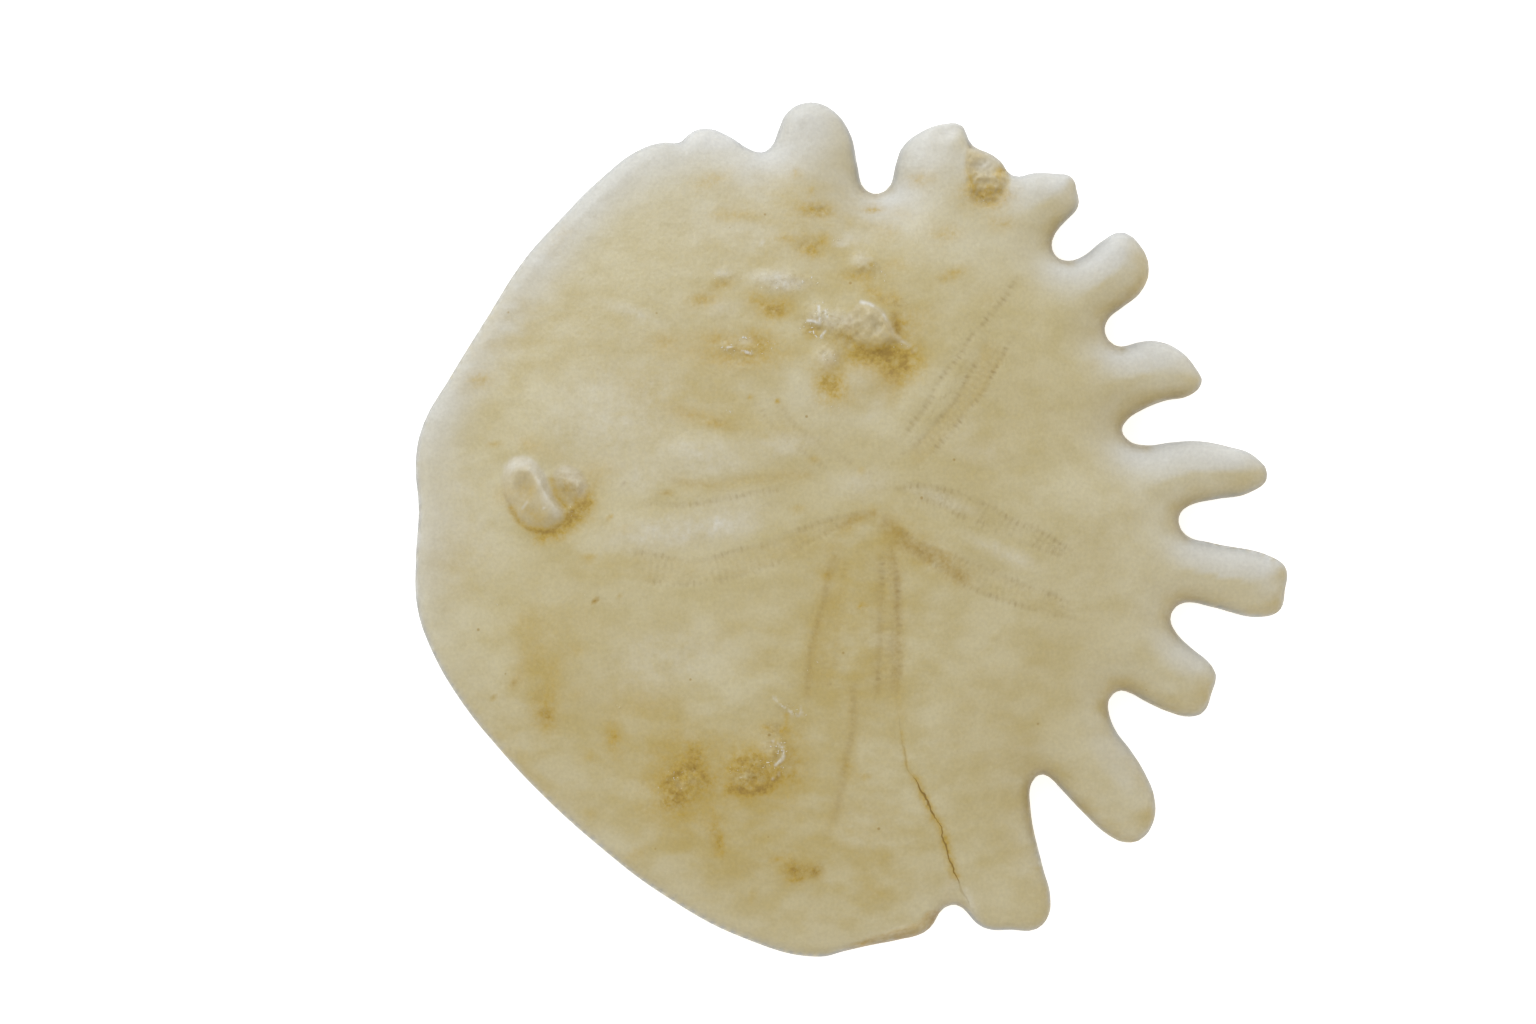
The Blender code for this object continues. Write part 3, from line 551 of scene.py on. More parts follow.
# Broad faint washes of ochre
WASHES = spots(
    (-21.9, -10.5, 2.6, 5.0, 14, 0.42), (-9.5, -20.3, 8.5, 5.0, -30, 0.60), (1.5, -22.8, 4.5, 4.5, 0, 0.40),
    (0.3, -7.6, 3.6, 7.5, 0, 0.50), (-3.9, 17.5, 8.5, 7.0, 0, 0.30), (-24.5, 12.5, 3.0, 4.5, -35, 0.30),
    (-27.6, -2.4, 1.8, 3.0, 0, 0.25), (-12.0, 9.5, 5.0, 2.5, -10, 0.35), (3.5, 0.0, 3.0, 2.0, -25, 0.40),
    (-3.0, -1.0, 4.0, 1.6, 20, 0.30), (2.5, 12.0, 4.0, 3.0, 40, 0.45), (-15.5, -2.4, 5.0, 1.3, 10, 0.25),
    (-3.0, 22.0, 5.5, 2.5, 0, 0.30), (-14.0, -13.5, 4.0, 3.5, -30, 0.35), (11.0, -14.0, 8.0, 8.0, 0, 0.15),
    (-3.5, -19.0, 4.0, 4.0, 0, 0.20), (2.4, -3.0, 3.5, 3.0, 0, 0.30), (-18.5, 0.5, 3.5, 3.0, 0, 0.25),
    (12.0, -22.0, 3.0, 6.5, 0, 0.18), (-2.0, -13.0, 5.0, 5.0, 0, 0.14), (-20.0, 14.0, 5.0, 4.0, 0, 0.15),
    (9.0, 6.5, 4.0, 4.0, 0, 0.10), (-6.9, 7.6, 4.0, 1.5, -15, 0.30), (-6.4, -7.9, 4.0, 3.0, 0, 0.25),
    # The row at (-23.0, -16.5) darkens and warms the lower left rim
    (-23.0, -16.5, 5.5, 1.8, -48, 0.35), (-1.0, -27.0, 4.0, 1.2, 8, 0.20),
)

# Pale, slightly blue places away from the rim: partly real bleaching, partly painted light on the left side
# and on the finger ends
PALE_AND_LIT_PLACES = spots(
    (-4.0, 23.0, 11.0, 5.0, 0, 0.24), (-2.8, 27.5, 2.2, 2.5, 0, 0.25), (-9.2, 27.6, 2.6, 1.0, -5, 0.60),
    (29.4, -3.8, 1.4, 2.0, 0, 0.28), (15.2, 23.6, 1.2, 1.4, 0, 0.30), (24.6, -10.8, 1.2, 1.4, 0, 0.10),
    (19.2, 18.6, 1.8, 1.8, 0, 0.18), (22.6, 11.0, 2.0, 1.6, 0, 0.12), (26.0, 4.4, 3.0, 1.4, 0, 0.10),
    (8.0, 21.0, 7.0, 4.0, 0, 0.10), (-22.0, 16.0, 6.0, 7.0, -40, 0.10), (-2.0, 9.0, 5.0, 3.0, 0, 0.12),
)

# Brown marks: painted shade along the notch edges, the lower finger sides and under the lumps, and brown
# stains in the soft dark bands of the petals, the crust rings and the dark dots
SHADES_AND_BROWN_STAINS = [
    *trails(
        # Painted shade along the notch edges and the lower sides of the fingers, where the rim turns away
        # from the light
        (0.45, 0.22, ((0.9, 23.8), (1.6, 23.5), (2.5, 23.8))),
        (0.45, 0.26, ((14.3, 20.8), (14.0, 19.9), (14.3, 19.1), (15.2, 18.8))),
        (0.45, 0.26, ((20.6, 17.4), (19.4, 16.2), (18.0, 14.8), (17.7, 14.0), (18.1, 13.1), (18.8, 12.8))),
        (
            0.45,
            0.26,
            ((24.0, 9.5), (21.9, 9.0), (20.2, 8.3), (19.3, 7.7), (18.9, 7.0), (19.4, 6.2), (20.6, 5.9)),
        ),
        (0.45, 0.26, ((23.7, 1.7), (23.0, 1.2), (22.9, 0.4), (23.4, -0.4))),
        (0.45, 0.26, ((23.7, -5.1), (22.8, -5.3), (22.3, -6.2), (22.7, -7.2))),
        (0.45, 0.26, ((19.4, -11.4), (18.6, -11.3), (18.0, -11.9), (18.0, -12.8))),
        (0.50, 0.28, ((13.8, -17.3), (13.2, -17.1), (12.6, -17.7), (12.5, -19.3), (12.8, -21.2))),
        (0.40, 0.26, ((7.7, -26.3), (6.8, -26.2), (6.2, -26.5), (5.8, -27.2))),
        # Painted shadow at the lower right of the front lump
        (
            0.15,
            0.30,
            ((-22.7, 0.1), (-21.9, -0.15), (-21.2, -0.15), (-20.5, 0.2), (-20.0, 0.6), (-19.5, 1.25)),
        ),
        # A faint brown outline along the front lump's left side
        (0.15, 0.22, ((-24.2, 2.5), (-23.8, 1.6), (-23.2, 0.5))),
        # Painted shadow under the side block and on its side away from the light
        (0.14, 0.16, ((0.4, 12.75), (1.0, 12.4), (1.6, 12.25), (2.1, 12.4), (2.6, 12.75))),
        (0.12, 0.35, ((2.9, 14.9), (2.8, 14.3), (3.2, 13.6))),
        # Brown stains: the soft dark bands of the petals, the band below the apex and the crust rings
        (0.65, 0.20, ((2.4, 0.4), (3.6, -0.8), (5.0, -1.6), (6.6, -2.5), (7.5, -3.3))),
        (0.35, 0.16, ((-0.8, 0.2), (0.4, 0.9), (1.5, 1.1))),
        (0.36, 0.05, ((-12.8, 3.7), (-11.0, 3.2), (-9.6, 3.4), (-8.5, 3.6))),
        (0.36, 0.04, ((-7.5, 3.7), (-5.2, 3.8), (-2.9, 3.8))),
        (0.35, 0.16, ((2.6, -1.2), (3.0, -3.2), (3.1, -5.6), (3.1, -8.6), (2.9, -11.0))),
        (0.35, 0.10, ((1.9, -2.0), (1.9, -5.0), (1.8, -8.0), (1.7, -11.0))),
        (0.30, 0.10, ((-1.2, -2.0), (-2.1, -5.5), (-2.9, -8.5), (-3.1, -11.5))),
        (0.30, 0.14, ((0.1, -10.9), (0.1, -13.5), (-0.4, -15.6), (-0.8, -18.0), (-1.2, -20.0))),
        (0.22, 0.13, ((-8.3, -17.9), (-7.3, -18.2), (-6.4, -18.1), (-5.6, -17.6), (-5.1, -16.9))),
        (0.22, 0.08, ((-12.8, -17.4), (-12.1, -16.8), (-11.2, -16.4), (-10.5, -16.7), (-10.1, -17.5))),
        (0.18, 0.14, ((-13.1, -18.6), (-12.4, -19.1), (-11.7, -18.9))),
    ),
    # Dark dashes, dots and brown stains, but for the two spots marked below
    *spots(
        (-17.95, -4.9, 0.18, 0.08, -25, 0.60), (-16.1, -4.7, 0.20, 0.08, 60, 0.45),
        (-24.9, -11.7, 0.14, 0.12, 0, 0.40), (-3.8, 1.45, 0.14, 0.09, 0, 0.40),
        (-12.9, 2.6, 0.16, 0.10, 0, 0.35), (-18.4, -2.0, 0.22, 0.09, 0, 0.45),
        (1.2, 4.0, 0.10, 0.10, 0, 0.35), (3.5, 5.3, 0.14, 0.10, 0, 0.40), (13.8, 8.4, 0.10, 0.10, 0, 0.30),
        (-15.8, 3.2, 0.10, 0.10, 0, 0.35), (-1.6, -10.7, 0.12, 0.10, 0, 0.35),
        (2.6, -8.0, 0.30, 0.9, 0, 0.16), (-4.2, -16.3, 0.5, 1.2, 10, 0.08),
        (-11.6, -15.6, 0.5, 0.6, 0, 0.06), (-23.6, -10.8, 0.28, 0.20, 20, 0.30),
        # The spot at (2.9, 11.3) is painted shade below and to the right of the side block
        (-21.3, -13.0, 0.5, 0.6, 0, 0.18), (9.3, 23.2, 1.2, 0.5, 0, 0.12), (2.9, 11.3, 1.1, 0.7, -20, 0.10),
        (-2.6, -23.9, 0.20, 0.16, 0, 0.45), (-4.0, -23.8, 0.6, 0.5, 0, 0.15),
        (-6.5, 13.2, 0.5, 0.3, -15, 0.15), (-5.2, 15.3, 0.7, 0.35, -5, 0.12),
        # The spot at (3.1, 14.2) is painted shade on the side block's far side
        (3.1, 14.2, 0.35, 0.7, 15, 0.20), (5.3, -1.8, 0.9, 0.4, -32, 0.12), (-18.7, 1.3, 0.5, 0.5, 0, 0.15),
        (3.1, -4.6, 0.3, 1.6, 0, 0.12),
    ),
]

CHALKY_PLACES = [
    *trails(
        (0.45, 0.42, ((-23.9, 4.3), (-22.9, 4.7), (-22.0, 4.2), (-21.5, 3.2), (-21.1, 2.2), (-20.5, 1.2))),
        (0.22, 0.22, ((0.7, 15.8), (1.4, 15.5), (2.05, 15.05), (2.4, 14.4), (2.8, 13.6), (3.4, 13.05))),
        (0.13, 0.60, ((0.6, 15.8), (1.1, 15.65), (1.4, 15.5))),
        (0.10, 0.45, ((2.15, 14.9), (2.35, 14.5))),
        (0.10, 0.90, ((-2.35, 15.5), (-2.30, 15.0), (-2.27, 14.4))),
        (0.10, 0.85, ((-3.1, 14.5), (-2.7, 14.45), (-2.27, 14.25))),
        (0.09, 0.80, ((-1.9, 15.2), (-1.76, 14.76))),
        (0.09, 0.70, ((-2.4, 13.1), (-1.9, 13.75))),
        (0.10, 0.35, ((3.4, 13.05), (3.9, 12.8), (4.6, 12.2))),
        (0.10, 0.45, ((-22.9, 1.5), (-22.6, 1.9))),
        (0.30, 0.28, ((8.0, -25.2), (8.3, -26.1), (8.8, -26.9))),
    ),
    *spots(
        (-10.1, 27.4, 2.0, 0.65, -8, 0.8), (6.5, 27.7, 1.5, 0.85, 5, 0.6), (5.5, 25.9, 1.3, 1.0, 0, 0.3),
        (-5.2, 17.4, 1.6, 0.6, -4, 0.50), (-4.2, 16.9, 1.3, 0.4, 10, 0.3), (-1.1, 14.5, 1.2, 0.8, 0, 0.30),
        (-2.3, 14.8, 0.7, 0.6, 0, 0.25), (-1.75, 11.9, 0.75, 0.7, 0, 0.35), (0.6, 18.8, 0.7, 0.5, 0, 0.35),
        (-9.0, 17.8, 0.6, 0.3, 0, 0.35), (-6.2, 20.0, 0.15, 0.15, 0, 0.9),
        (-0.74, 20.0, 0.45, 0.18, 5, 0.6), (0.9, 10.7, 1.5, 0.9, 0, 0.20),
        (-19.4, 3.7, 1.1, 0.5, -40, 0.30), (-18.8, 2.7, 0.35, 0.6, 0, 0.30),
        (-11.9, -17.8, 0.4, 0.4, 0, 0.12), (-11.1, -17.5, 0.35, 0.3, 0, 0.10),
        # The broad spots at (-17.6, 7.7) and (-27.0, 0.5) lighten the left side: chalky bloom with painted
        # light from the left
        (-17.6, 7.7, 5.5, 4.0, 10, 0.25), (-27.0, 0.5, 3.5, 6.0, 0, 0.20),
        (-14.8, -10.0, 5.0, 3.0, 20, 0.16), (0.6, 3.2, 2.2, 1.1, 8, 0.24), (-10.6, 5.5, 2.9, 1.0, 3, 0.35),
        (-8.6, 1.8, 4.2, 1.0, 5, 0.18), (-9.4, 4.3, 3.5, 0.7, 5, 0.25), (-4.5, 5.9, 2.5, 0.9, 0, 0.30),
        (-12.9, -0.2, 4.8, 1.3, 4, 0.42), (-8.2, 0.4, 2.4, 1.0, 10, 0.30), (-7.4, 13.1, 0.5, 0.4, 0, 0.25),
        (-15.2, 15.1, 2.0, 0.4, -20, 0.3), (-5.9, -15.1, 0.7, 0.55, 0, 0.15),
        (-0.3, 20.1, 1.3, 0.55, 0, 0.3), (9.4, 5.2, 2.1, 1.1, 0, 0.15), (10.4, -1.6, 3.2, 0.6, -24, 0.30),
        (6.2, 2.1, 2.8, 0.5, -20, 0.25), (-8.9, 15.4, 1.4, 0.55, 0, 0.2), (13.9, 24.5, 1.7, 0.6, 0, 0.35),
        (18.7, 20.1, 1.4, 0.55, -20, 0.3), (22.0, 12.6, 1.8, 0.5, -15, 0.3),
        (25.5, 5.6, 2.5, 0.7, -12, 0.35), (26.9, -2.1, 2.5, 0.7, -10, 0.3),
        (24.1, -9.1, 1.4, 0.6, -35, 0.25), (-2.8, 29.2, 1.4, 0.55, 0, 0.25),
        (6.9, -24.9, 0.6, 0.9, -15, 0.25), (4.5, 25.6, 0.08, 0.28, 0, 0.60),
        (-11.4, 0.0, 0.10, 0.5, 5, 0.50), (-9.4, 0.6, 0.10, 0.5, 5, 0.50),
        (-11.8, -0.4, 0.08, 0.25, 0, 0.75), (-9.0, 0.4, 0.10, 0.20, 0, 0.65),
        (-11.2, -0.2, 0.06, 0.30, 0, 0.60), (-8.8, 0.9, 0.06, 0.22, 20, 0.60),
        (-13.4, 0.3, 0.10, 0.4, 0, 0.30), (-21.4, 1.5, 0.14, 0.10, 30, 0.45),
        (-23.2, -10.5, 0.7, 2.1, 0, 0.1), (-14.8, 3.5, 1.9, 1.2, 0, 0.25), (0.7, -20.3, 2.8, 2.1, 0, 0.12),
        (-11.3, -8.4, 4.2, 2.1, 0, 0.12), (7.6, 7.0, 2.1, 1.1, 50, 0.14), (9.3, 25.5, 1.0, 0.5, 10, 0.32),
        (2.0, 9.0, 2.0, 0.6, 57, 0.18), (-12.0, 12.0, 7.0, 6.0, 30, 0.10), (20.0, 1.5, 6.0, 10.0, 0, 0.12),
    ),
]


@dataclass(frozen=True)
class PoreBand:
    """Two rows of a petal's pores, and the sunken band with fine ribs between them.

    Args:
        first, second: The names of the rows.
        show: How clearly the pores show.
        ribs: How clearly the ribs between the rows show.
        depth: How deep the band is sunk.
        tint: How much ochre has gathered in it.
    """

    first: str
    second: str
    show: float
    ribs: float
    depth: float
    tint: float


PORE_BANDS = [
    PoreBand("rear_left_2", "rear_left_3", 0.75, 0.45, 0.05, 0.18),
    PoreBand("rear_right_1", "rear_right_2", 0.65, 0.60, 0.03, 0.04),
    PoreBand("rear_right_3", "rear_right_4", 0.55, 0.30, 0.03, 0.08),
    PoreBand("front_right_1", "front_right_2", 0.50, 0.45, 0.04, 0.10),
    PoreBand("front_right_3", "front_right_4", 0.30, 0.20, 0.04, 0.10),
    PoreBand("front_1", "front_2", 0.45, 0.45, 0.05, 0.09),
    PoreBand("left_1", "left_2", 0.35, 0.10, 0.02, 0.02),
]
SINGLE_ROWS = {"rear_left_1": 0.70, "front_right_5": 0.30, "front_3": 0.08, "front_4": 0.60}


@dataclass(frozen=True)
class Streak:
    """A broken white crest of sugary calcite along a line.

    Args:
        points: The points that it passes through.
        half_width: How far it reaches to each side.
        height: How high it stands.
        white: How white it is.
    """

    points: tuple[Point, ...]
    half_width: float
    height: float
    white: float

    def cover(self, x: Array, y: Array, spread: float = 1.0) -> Array:
        """1 on the crest's line, fading to 0 beside it."""
        return np.exp(-((distance(x, y, smooth_line(self.points)) / (spread * self.half_width)) ** 2))


STREAKS = [
    Streak(((-5.8, -11.4), (-5.3, -11.8), (-4.7, -12.3), (-4.3, -12.6), (-3.9, -12.8)), 0.09, 0.02, 0.5),
    Streak(((-3.5, -12.3), (-3.55, -12.6), (-3.8, -12.95), (-4.2, -12.7)), 0.08, 0.02, 0.45),
    Streak(((-5.5, -14.6), (-5.2, -14.9), (-4.75, -15.2), (-4.8, -15.8), (-5.3, -16.3)), 0.12, 0.10, 0.7),
    Streak(((-5.0, -16.5), (-5.1, -17.0), (-5.5, -17.3)), 0.09, 0.05, 0.5),
    Streak(((-3.1, 14.5), (-2.6, 14.45), (-2.25, 14.25)), 0.09, 0.04, 0.5),
    Streak(((-8.8, 12.7), (-8.2, 12.6), (-7.6, 12.4), (-7.0, 12.2)), 0.09, 0.04, 0.8),
]


def inwards_of(outline: Sequence[Point], x: Array, y: Array) -> Array:
    """How far in each point is: 1 in the middle of the outline, 0 on it, and negative outside it."""
    centre = np.array(outline).mean(axis=0)
    line = smooth_line([*outline, outline[0]], 6) - centre
    angles = np.arctan2(line[:, 1], line[:, 0])
    order = np.argsort(angles)
    towards = np.arctan2(y - centre[1], x - centre[0])
    reach = np.interp(towards, angles[order], np.hypot(*line.T)[order], period=2 * math.pi)
    return 1 - np.hypot(x - centre[0], y - centre[1]) / reach


@dataclass(frozen=True)
class Lump:
    """A low lump of rock that is grown into the top of the test.

    Args:
        outline: Its edge, seen from above.
        height: How far it stands up.
        side: How much of its half width the slope of its sides takes.
        roughness: How uneven it is, in millimetres.
        ridges: Ridges, nubs and hollows on it.
    """

    outline: tuple[Point, ...]
    height: float
    side: float
    roughness: float
    ridges: list[Spot]

    def cover(self, x: Array, y: Array) -> Array:
        """1 on the lump and 0 off it, with a soft edge."""
        return fade(inwards_of(self.outline, x, y), -0.06, 0.10)

    def rise(self, x: Array, y: Array) -> Array:
        """How much higher than the test the lump is at each point."""
        inwards = inwards_of(self.outline, x, y)
        level = np.full(len(x), self.height)
        for ridge in self.ridges:
            level += ridge.cover(x, y)
        level += self.roughness * LUMP_GRAIN.at(x, y)
        return fade(inwards, -0.03, self.side) * level


LUMPS = [
    Lump(
        (
            (-24.48, 3.61), (-24.2, 4.5), (-23.79, 5.01), (-22.95, 5.17), (-22.04, 4.75), (-21.42, 3.91),
            (-20.90, 2.70), (-19.99, 1.46), (-19.74, 0.95), (-20.36, 0.25), (-21.27, -0.14), (-22.34, 0.05),
            (-23.25, 0.62), (-23.72, 1.62), (-24.26, 2.38),
        ),
        0.40,
        0.42,
        0.03,
        spots(
            (-22.9, 4.4, 1.0, 0.6, 5, 0.20), (-21.9, 3.7, 1.0, 0.6, -50, 0.20),
            (-21.5, 2.5, 1.2, 0.75, -62, 0.20), (-20.8, 1.2, 1.0, 0.8, -50, 0.20),
            (-22.7, 2.9, 0.6, 0.7, 0, -0.14), (-22.2, 1.1, 0.8, 0.5, -35, -0.08),
        ),
    ),
    Lump(
        (
            (-20.9, 3.6), (-20.6, 4.2), (-19.7, 4.5), (-18.9, 4.1), (-18.4, 3.3), (-18.2, 2.6), (-18.7, 2.0),
            (-19.5, 1.7), (-20.3, 1.9), (-20.8, 2.6),
        ),
        0.18,
        0.8,
        0.07,
        spots(
            (-19.4, 3.6, 1.0, 0.5, -30, 0.12), (-18.9, 2.8, 0.5, 0.6, 0, 0.12),
            (-20.3, 2.6, 0.5, 0.7, 0, -0.12),
        ),
    ),
    Lump(
        (
            (-0.3, 15.0), (0.5, 15.75), (0.95, 15.85), (1.6, 15.55), (2.2, 15.05), (2.6, 14.4), (3.0, 13.7),
            (3.5, 13.1), (2.9, 12.85), (2.6, 12.6), (1.95, 12.25), (1.2, 12.3), (0.5, 12.75), (-0.2, 13.3),
            (-0.6, 14.2),
        ),
        0.36,
        0.45,
        0.16,
        spots(
            (1.4, 15.1, 1.0, 0.40, -38, 0.12), (2.1, 14.4, 0.8, 0.45, -62, 0.16),
            (2.6, 13.5, 0.7, 0.4, -45, 0.12), (1.7, 13.0, 1.1, 0.5, 5, 0.10),
            (0.0, 14.3, 0.8, 1.4, 0, -0.16),
        ),
    ),
    Lump(
        (
            (8.0, 27.1), (9.0, 26.9), (10.1, 26.4), (10.8, 25.4), (11.1, 24.4), (10.8, 23.4), (10.4, 22.6),
            (9.35, 22.35), (8.3, 22.7), (7.95, 23.8), (7.85, 25.2),
        ),
        -0.10,
        0.25,
        0.22,
        spots(
            (9.5, 24.6, 1.0, 0.5, 10, 0.16), (9.3, 23.2, 1.1, 0.6, 0, -0.10),
            (10.4, 25.0, 0.4, 0.5, 0, -0.14),
        ),
    ),
]


def read_points(mesh: bpy.types.Mesh) -> tuple[Array, Array, Array]:
    """The mesh's x, y and z in millimetres."""
    points = np.empty(len(mesh.vertices) * 3)
    mesh.vertices.foreach_get("co", points)
    x, y, z = points.reshape(-1, 3).T / MM
    return x, y, z


def write_points(mesh: bpy.types.Mesh, x: Array, y: Array, z: Array) -> None:
    """Move the mesh's points to these places in millimetres."""
    mesh.vertices.foreach_set("co", (np.stack([x, y, z], axis=1) * MM).ravel())
    mesh.update()


def write_layer(mesh: bpy.types.Mesh, layer: Layer, values: Array) -> None:
    """Keep one number per point for the finish to read."""
    held = mesh.attributes.new(layer.value, "FLOAT", "POINT")
    held.data.foreach_set("value", np.asarray(values, np.float32))


def evaluated_mesh(obj: bpy.types.Object) -> bpy.types.Mesh:
    """A new mesh of the object with its modifiers applied."""
    bpy.context.view_layer.update()
    graph = bpy.context.evaluated_depsgraph_get()
    return bpy.data.meshes.new_from_object(obj.evaluated_get(graph))


def new_piece(name: str, mesh: bpy.types.Mesh, material: bpy.types.Material) -> bpy.types.Object:
    """Put a finished mesh into the scene as a piece of the sand dollar.

    Args:
        name: The piece's name.
        mesh: Its mesh, in metres and in place.
        material: Its finish.

    Returns:
        The piece, which rides on the body; the test's solid from model.glb is hidden.
    """
    mesh.name = name
    mesh.materials.clear()
    mesh.materials.append(material)
    mesh.shade_smooth()
    piece = bpy.data.objects.new(name, mesh)
    bpy.context.scene.collection.objects.link(piece)
    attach(piece, BODY)
    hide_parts(NODE)
    LOG.info("%s: %d faces", name, len(mesh.polygons))
    return piece


@dataclass
class Test:
    """The skeleton of the sand dollar: a low dome with a thick rounded rim, flat below."""

    rim_thickness: float = 2.7
    rim_rounding: float = 0.95
    apex_height: float = 6.6
    dome_reach: float = 33.0
    dome_fullness: float = 1.2
    rim_thinning_width: float = 9.0
    mouth_radius: float = 1.3
    mouth_depth: float = 1.5
    rear_axis_deg: float = 12.0
    vent_from_mouth: float = 8.0
    vent_radius: float = 0.8
    vent_depth: float = 0.8
    hollow_radius: float = 19.0
    hollow_depth: float = 0.5
    food_trunk_length: float = 4.0
    food_fork_deg: float = 13.0
    food_groove_length: float = 17.0
    food_groove_half_width: float = 0.4
    food_groove_depth: float = 0.22
    petal_directions: tuple[float, ...] = (53.0, -26.5, 263.7, 193.5, 127.0)
    ledge_width: float = 0.75
    ledge_drop: float = 0.55
    edge_wobble: float = 0.10
    slow_wave: float = 0.05
    fine_wave: float = 0.018
    rib_height: float = 0.008
    pore_depth: float = 0.012
    pore_reach: float = 0.22
    crumb_height: float = 0.26
    crust_sink: float = 0.08
    crack_wobble: float = 0.10
    crack_dip: float = 0.05
    crack_dip_reach: float = 0.4
    crack_lip: float = 0.05
    crack_lip_away: float = 0.6
    crack_lip_reach: float = 0.5
    stump: Spot = Spot(-9.2, 28.4, 2.9, 2.9, 0, -0.8)
    voxel: float = 0.34
    curve_steps: int = 8
    band_steps: int = 30
    fine_by_row: float = 0.55
    fine_by_crust: float = 0.18
    fine_by_lump: float = 0.12
    fine_by_crack: float = 0.3
    fine_by_edge: float = 1.3
    outline: Array = field(init=False)
    outline_steps: Array = field(init=False)
    rows: dict[str, Array] = field(init=False)

    def __post_init__(self) -> None:
        """Work out the smooth lines that the test's shape follows."""
        curve = self.outline_curve(solid=False)
        mesh = evaluated_mesh(curve)
        self.outline = np.array([vertex.co[:2] for vertex in mesh.vertices]) / MM
        self.outline_steps = np.linalg.norm(np.roll(self.outline, -1, axis=0) - self.outline, axis=1)
        bpy.data.objects.remove(curve)
        self.rows = {name: smooth_line(points) for name, points in ROWS.items()}

    def outline_curve(self, solid: bool) -> bpy.types.Object:
        """Draw the outline as a smooth closed curve.

        Args:
            solid: True for a filled plate as thick as the rim, with a rounded edge; False for a line.

        Returns:
            The curve's object.
        """
        curve = bpy.data.curves.new("outline", "CURVE")
        curve.dimensions = "2D"
        curve.fill_mode = "BOTH" if solid else "NONE"
        curve.resolution_u = self.curve_steps
        points = FRONT_RIM + WORN_STUMP + FINGERS_AND_NOTCHES + BROKEN_EDGE
        spline = curve.splines.new("BEZIER")
        spline.bezier_points.add(len(points) - 1)
        for knot, (x, y) in zip(spline.bezier_points, points):
            knot.co = (x * MM, y * MM, 0)
            knot.handle_left_type = "AUTO"
            knot.handle_right_type = "AUTO"
        spline.use_cyclic_u = True
        if solid:
            curve.extrude = (self.rim_thickness / 2 - self.rim_rounding) * MM
            curve.bevel_depth = self.rim_rounding * MM
            curve.bevel_resolution = 5
            curve.offset = -self.rim_rounding * MM
        obj = bpy.data.objects.new("outline", curve)
        bpy.context.scene.collection.objects.link(obj)
        return obj

    def plate(self) -> bpy.types.Mesh:
        """The flat plate that the test is raised from, in even faces."""
        curve = self.outline_curve(solid=True)
        mesh = evaluated_mesh(curve)
        solid = bmesh.new()
        solid.from_mesh(mesh)
        bmesh.ops.remove_doubles(solid, verts=solid.verts, dist=0.001 * MM)
        solid.to_mesh(mesh)
        solid.free()
        bpy.data.objects.remove(curve)
        obj = bpy.data.objects.new("plate", mesh)
        bpy.context.scene.collection.objects.link(obj)
        remesh = obj.modifiers.new("even faces", "REMESH")
        remesh.mode = "VOXEL"
        remesh.voxel_size = self.voxel * MM
        even = evaluated_mesh(obj)
        bpy.data.objects.remove(obj)
        return even

    def refine(self, mesh: bpy.types.Mesh, wanted: Callable[[Array, Array], Array]) -> None:
        """Halve the faces of the plate's top where finer shapes come.

        Args:
            mesh: The plate's mesh.
            wanted: Says for points of the top whether their faces are to be halved.
        """
        shape = bmesh.new()
        shape.from_mesh(mesh)
        centres = np.array([face.calc_center_median() for face in shape.faces]) / MM
        x, y, z = centres.T
        chosen = wanted(x, y) & (z > 0.2 * self.rim_thickness)
        edges = {edge for face, take in zip(shape.faces, chosen) if take for edge in face.edges}
        halved = sorted(edges, key=lambda edge: edge.index)
        bmesh.ops.subdivide_edges(shape, edges=halved, cuts=1, use_grid_fill=True)
        shape.to_mesh(mesh)
        shape.free()

    def near_petals(self, x: Array, y: Array) -> Array:
        """Whether points are by the petals' pores, the crack, the broken edge or a crust."""
        near = self.near_crusts(x, y)
        for line in self.rows.values():
            near |= distance(x, y, line) < self.fine_by_row
        return near

    def near_crusts(self, x: Array, y: Array) -> Array:
        """Whether points are on a crust or a lump, by the crack or by the broken edge."""
        near = covered(CRUSTS, x, y) > self.fine_by_crust
        for lump in LUMPS:
            near |= inwards_of(lump.outline, x, y) > -self.fine_by_lump
        near |= distance(x, y, smooth_line(CRACK)) < self.fine_by_crack
        return near | (distance(x, y, smooth_line(BROKEN_EDGE)) < self.fine_by_edge)

    def rim_distance(self, x: Array, y: Array) -> Array:
        """Distance to the outline, smoothed so that it has no crease along the middle of a finger."""
        total = np.zeros(len(x))
        for (px, py), length in zip(self.outline, self.outline_steps):
            total += length / ((x - px) ** 2 + (y - py) ** 2 + 0.01) ** 2
        return (total / (math.pi / 2)) ** (-1 / 3)

    def light_facing(self, x: Array, y: Array) -> Array:
        """How far the nearest edge faces the left side, where the light comes from: from 1 to -1."""
        out_x, out_y = np.zeros(len(x)), np.zeros(len(x))
        for (px, py), length in zip(self.outline, self.outline_steps):
            pull = length / ((x - px) ** 2 + (y - py) ** 2 + 0.05) ** 2.5
            out_x += pull * (px - x)
            out_y += pull * (py - y)
        return (0.95 * out_y - 0.3 * out_x) / (np.hypot(out_x, out_y) + 1e-9)

    def dome(self, x: Array, y: Array) -> Array:
        """Height of the plain dome over the plane that the test rests on."""
        from_apex = np.hypot(x - APEX[0], y - APEX[1])
        rise = np.clip(1 - (from_apex / self.dome_reach) ** 2, 0, 1) ** self.dome_fullness
        inwards = np.clip(self.rim_distance(x, y) / self.rim_thinning_width, 0, 1)
        return self.rim_thickness + (self.apex_height - self.rim_thickness) * rise * inwards * (2 - inwards)

